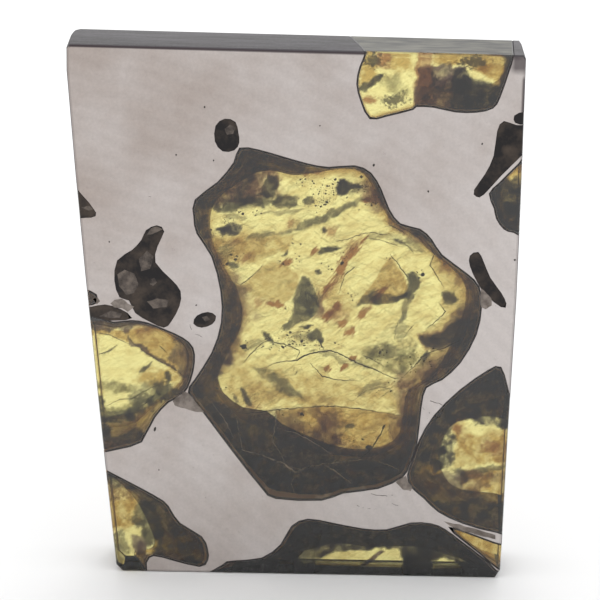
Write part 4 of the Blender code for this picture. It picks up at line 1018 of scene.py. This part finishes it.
# Specks in the olivine
# Grains of troilite a tenth of a millimetre or less, scattered along the healed fractures.
SPECK_RADIUS = 0.035
SPECK_VARIETY = 0.55
SPECK_DEPTHS = 0.4


def specks(name, clusters, seed):
    """Clusters of specks, each with its middle, its half extents, its depth and how many there are."""
    draw = random.Random(seed)
    bm = bmesh.new()
    for x, z, wide, high, depth, count in clusters:
        for _ in range(count):
            at_x, at_z = x + draw.gauss(0.0, wide / 2), z + draw.gauss(0.0, high / 2)
            place = sight(at_x, at_z, depth + draw.uniform(-SPECK_DEPTHS, SPECK_DEPTHS))
            size = SPECK_RADIUS * math.exp(draw.gauss(0.0, SPECK_VARIETY))
            stretch = Matrix.Diagonal((size * draw.uniform(0.8, 2.0), size * 0.5, size * draw.uniform(0.7, 1.4), 1.0))
            turn = Matrix.Rotation(draw.uniform(-0.9, 0.9), 4, "Y")
            shape = Matrix.Translation(place) @ turn @ stretch
            bmesh.ops.create_icosphere(bm, subdivisions=1, radius=1.0, matrix=shape)
    finish(name, bm, crack_rust)


specks("center_specks", (
    (3, 38.4, 1.8, 1.2, 2.4, 90), (2.2, 37.2, 1.4, 0.8, 2.4, 40), (0.8, 39.2, 0.8, 0.6, 2.4, 24),
    (-6.2, 35.2, 1.2, 0.5, 2, 20), (-7.3, 33.8, 0.5, 0.6, 2, 16), (0.1, 33.1, 0.5, 0.4, 2.2, 14),
    (0.6, 31.7, 0.5, 0.8, 2.2, 16), (-1.2, 31.3, 0.8, 0.3, 2.2, 10), (3.4, 31, 0.9, 0.9, 2.2, 16),
    (4.7, 31.9, 0.4, 0.8, 2.2, 10), (5.7, 27.9, 0.5, 0.6, 2, 18), (0.6, 23.8, 1.6, 1, 2, 70),
    (-1.2, 23.2, 2.2, 0.8, 2, 40), (2.4, 23.4, 0.8, 1, 2, 24), (-4.2, 22.8, 1.2, 0.8, 2.4, 24),
    (9.4, 22.6, 3, 1.4, 2.4, 50), (12.8, 22, 1, 1, 2.4, 34), (11.6, 20.9, 1, 0.8, 2.4, 20),
    (6.4, 39, 1.2, 1, 2.2, 30), (7.6, 37.6, 1.2, 1.2, 2.4, 30), (-1, 26.7, 0.8, 0.15, 2.2, 14),
    (4.3, 23.5, 0.5, 0.4, 2, 8), (9.6, 31.8, 1.2, 0.5, 2.4, 12), (11.9, 30.4, 0.6, 0.5, 2.2, 14),
    (9.4, 19, 1.6, 1, 2.6, 24), (-6.2, 18.4, 1.4, 0.8, 2.4, 16), (2.6, 16, 3, 0.8, 3, 20),
    (6.6, 13.4, 1.6, 0.8, 3, 14), (-5.4, 32.2, 1.8, 1.2, 3, 30), (-4.4, 36, 1.6, 0.5, 2.2, 12),
), 23)


# Schreibersite and marks in the metal
# Grains of a grey iron phosphide beside the crystals, ground flush with the metal, with hairline cracks and tiny
# corrosion pits in the polished face.
RIM_STEP = 0.2
RIM_NUDGE = 0.08
RIM_WAVES = 1.7
OVAL_CORNERS = 12


def inlays(name, outlines, material, seed):
    """Flat grains flush with the front face, each given by the x and z of its corners, with a slightly uneven rim."""
    bm = bmesh.new()
    for outline in outlines:
        corners = pairs(outline)
        rim = []
        for x, z in stepped(corners + corners[:1], RIM_STEP):
            nudge = noise.noise_vector(Vector((x * RIM_WAVES, seed, z * RIM_WAVES))) * RIM_NUDGE
            rim.append(bm.verts.new((x + nudge.x, FRONT, z + nudge.z + FOOT_DROP)))
        plate = bm.faces.new(rim)
        back = bmesh.ops.extrude_face_region(bm, geom=[plate], use_keep_orig=True)["geom"]
        for vert in back:
            if isinstance(vert, bmesh.types.BMVert):
                vert.co.y += 2 * INLAY_HEIGHT
    bmesh.ops.recalc_face_normals(bm, faces=bm.faces)
    keep_inside(bm, 0.0)
    finish(name, bm, material)


def ovals(places):
    """Outlines of ovals, each given by its middle, its two half widths and its tilt."""
    outlines = []
    for x, z, wide, high, tilt in places:
        turn = math.radians(tilt)
        outline = []
        for step in range(OVAL_CORNERS):
            angle = math.tau * step / OVAL_CORNERS
            across, up = wide * math.cos(angle), high * math.sin(angle)
            outline.append(x + across * math.cos(turn) - up * math.sin(turn))
            outline.append(z + across * math.sin(turn) + up * math.cos(turn))
        outlines.append(outline)
    return outlines


# Schreibersite: a grey metallic phosphide that takes a duller and browner polish than the nickel-iron around it
schreibersite = new_material("ground_schreibersite")
coords = add(schreibersite, "TexCoord").outputs["Object"]
tone = mottled(schreibersite, coords, 1.2 / MM, 5.0, 0.65, 0.38, 0.62, "#645C56", "#8C837C")
surface(schreibersite, {"Base Color": tone, "Metallic": 0.8, "Roughness": 0.4})

inlays("schreibersite", (
    (-17.3, 26.9, -16.9, 27.3, -16.2, 27.4, -15.6, 26.9, -15, 26.6, -15.6, 26.1, -16.2, 26.5, -16.9, 26.5),
    (-11.3, 17.2, -10.9, 17.7, -10.2, 18.2, -9.8, 18, -8.9, 17, -8.2, 16.1, -9.2, 16.2, -10.4, 16.5, -11.1, 16.8),
    (10.5, 9.6, 11.3, 10, 11.5, 9.4, 12, 8.8, 11.8, 8.4, 11, 8.6, 10.4, 9.3),
    (17.9, 29.1, 18.4, 28.6, 18.9, 28.1, 18.95, 27.4, 18.4, 27, 17.95, 27.2, 17.85, 28.2),
    (15.1, 5.4, 16.4, 5.1, 18, 4.7, 19.4, 4.3, 20.2, 4, 20.2, 3.6, 18.8, 3.9, 17.2, 4.4, 15.8, 4.9),
    (-18.9, 27.3, -18.5, 27.5, -18.3, 27.1, -18.6, 26.8),
), schreibersite, 51)

# Corrosion pits: tiny hollows filled with dark iron oxide
pit_oxide = new_material("iron_oxide_in_pits")
surface(pit_oxide, {"Base Color": colour("#2B2623"), "Roughness": 0.75})
inlays("pits", ovals((
    (-13, 14.3, 0.12, 0.24, -10), (7.4, 40.95, 0.1, 0.13, 0), (12.6, 38.5, 0.09, 0.11, 0),
    (17.5, 43.2, 0.09, 0.12, 0), (-8.5, 46.2, 0.08, 0.1, 0), (-11.1, 41.6, 0.08, 0.09, 0), (-7.6, 41.1, 0.08, 0.1, 0),
    (21, 31.9, 0.12, 0.1, 0), (-9.1, 26.9, 0.08, 0.08, 0), (-17.4, 33, 0.06, 0.1, 0), (2.3, 44.6, 0.06, 0.08, 0),
    (-12.6, 10.2, 0.06, 0.08, 0),
)), pit_oxide, 53)

threads("metal_cracks", (
    (0, 0.035, (12.5, 18, 13.4, 17.7, 14.4, 17.4, 15, 17.2)),
    (0, 0.03, (12.7, 17, 13.6, 16.3, 14.3, 16, 14.9, 17.3)),
    (0, 0.02, (12.8, 16, 13.6, 15.8, 14.1, 16.1)),
    (0, 0.03, (7.5, 8.3, 8.2, 8, 9.5, 7.9, 10.5, 8.1)),
    (0, 0.025, (11.3, 7.8, 11.7, 7.6, 12, 7.4)),
    (0, 0.02, (-13.9, 37.5, -13.5, 37.45, -13.2, 37.5)),
    (0, 0.025, (-9.7, 25, -9.65, 24.7, -9.5, 24.4)),
    (0, 0.022, (-9.2, 24, -8.8, 23.9, -8.4, 23.7)),
    (0, 0.02, (6.2, 7, 7.4, 6.6, 8.6, 6.5)),
    (0, 0.018, (9.6, 7.2, 10.6, 6.9, 11.4, 6.4)),
), crack_rust, 57)


# Dark grains
# Troilite and shadowed olivine grains near the metal, polished flush with it: nearly black and glassy.
DARK_GRAINS = (
    "inclusion_pocket",
    "inclusion_teardrop",
    "inclusion_left_cap",
    "inclusion_left_edge",
    "inclusion_right_edge",
    "inclusion_right_bead",
    "inclusion_sliver",
    "inclusion_oval",
)
dark_glass = new_material("polished_dark_grain")
coords = add(dark_glass, "TexCoord").outputs["Object"]
tone = mottled(dark_glass, coords, 0.5 / MM, 6.0, 0.6, 0.42, 0.66, "#191617", "#453B33")
surface(dark_glass, {"Base Color": tone, "Roughness": 0.08, "Specular IOR Level": 0.25})
for grain in DARK_GRAINS:
    bm = copy_of(grain)
    grow_walls(bm, RIND_OUTER)
    sink_front(bm)
    finish(grain + "_grain", bm, dark_glass, replaces=[grain])


# Paler zones of the dark grains, where thin olivine lies over the metal, and two painted glints: pale patches that
# stand in for highlights on the pocket's top rim and near x -19
thin_olivine_and_glints = new_material("thin_olivine_and_painted_glints")
coords = add(thin_olivine_and_glints, "TexCoord").outputs["Object"]
tone = mottled(thin_olivine_and_glints, coords, 0.9 / MM, 6.0, 0.65, 0.36, 0.62, "#2A2524", "#6A6058")
surface(thin_olivine_and_glints, {"Base Color": tone, "Roughness": 0.15, "Specular IOR Level": 0.25})
inlays("pale_zones_and_glints", (
    (-16.6, 29.8, -15.9, 30.3, -15, 29.9, -14.6, 28.9, -15, 28, -15.8, 27.8, -16.4, 28.6),
    (-13.8, 27.2, -12.8, 27.5, -11.7, 27.3, -11.9, 26.7, -13.2, 26.5),
    (-13.5, 29.4, -13.1, 29.5, -12.9, 29.1, -13.2, 28.7, -13.5, 28.9),
    # Painted highlight: the crescent glint on the pocket's top rim
    (-13.9, 33.7, -13.5, 34.4, -12.9, 34.6, -12.3, 34.3, -12.8, 34.1, -13.3, 33.8),
    (-14.6, 31.4, -13.8, 32.2, -13.2, 31.6, -13.5, 30.4, -14.4, 30.2),
    (-18.4, 25.6, -17.2, 26.2, -16.2, 25.9, -16.4, 25.5, -17.4, 25.5),
    # Painted highlight: a small pale glint
    (-20, 36.3, -19.3, 36.5, -18.8, 36.2, -19.3, 36),
    (-6.6, 44.2, -6.1, 44.6, -5.6, 44.3, -5.8, 43.7, -6.4, 43.6),
    (-8.6, 25.7, -8.1, 25.8, -7.8, 25.5, -8.2, 25.3),
), thin_olivine_and_glints, 61)
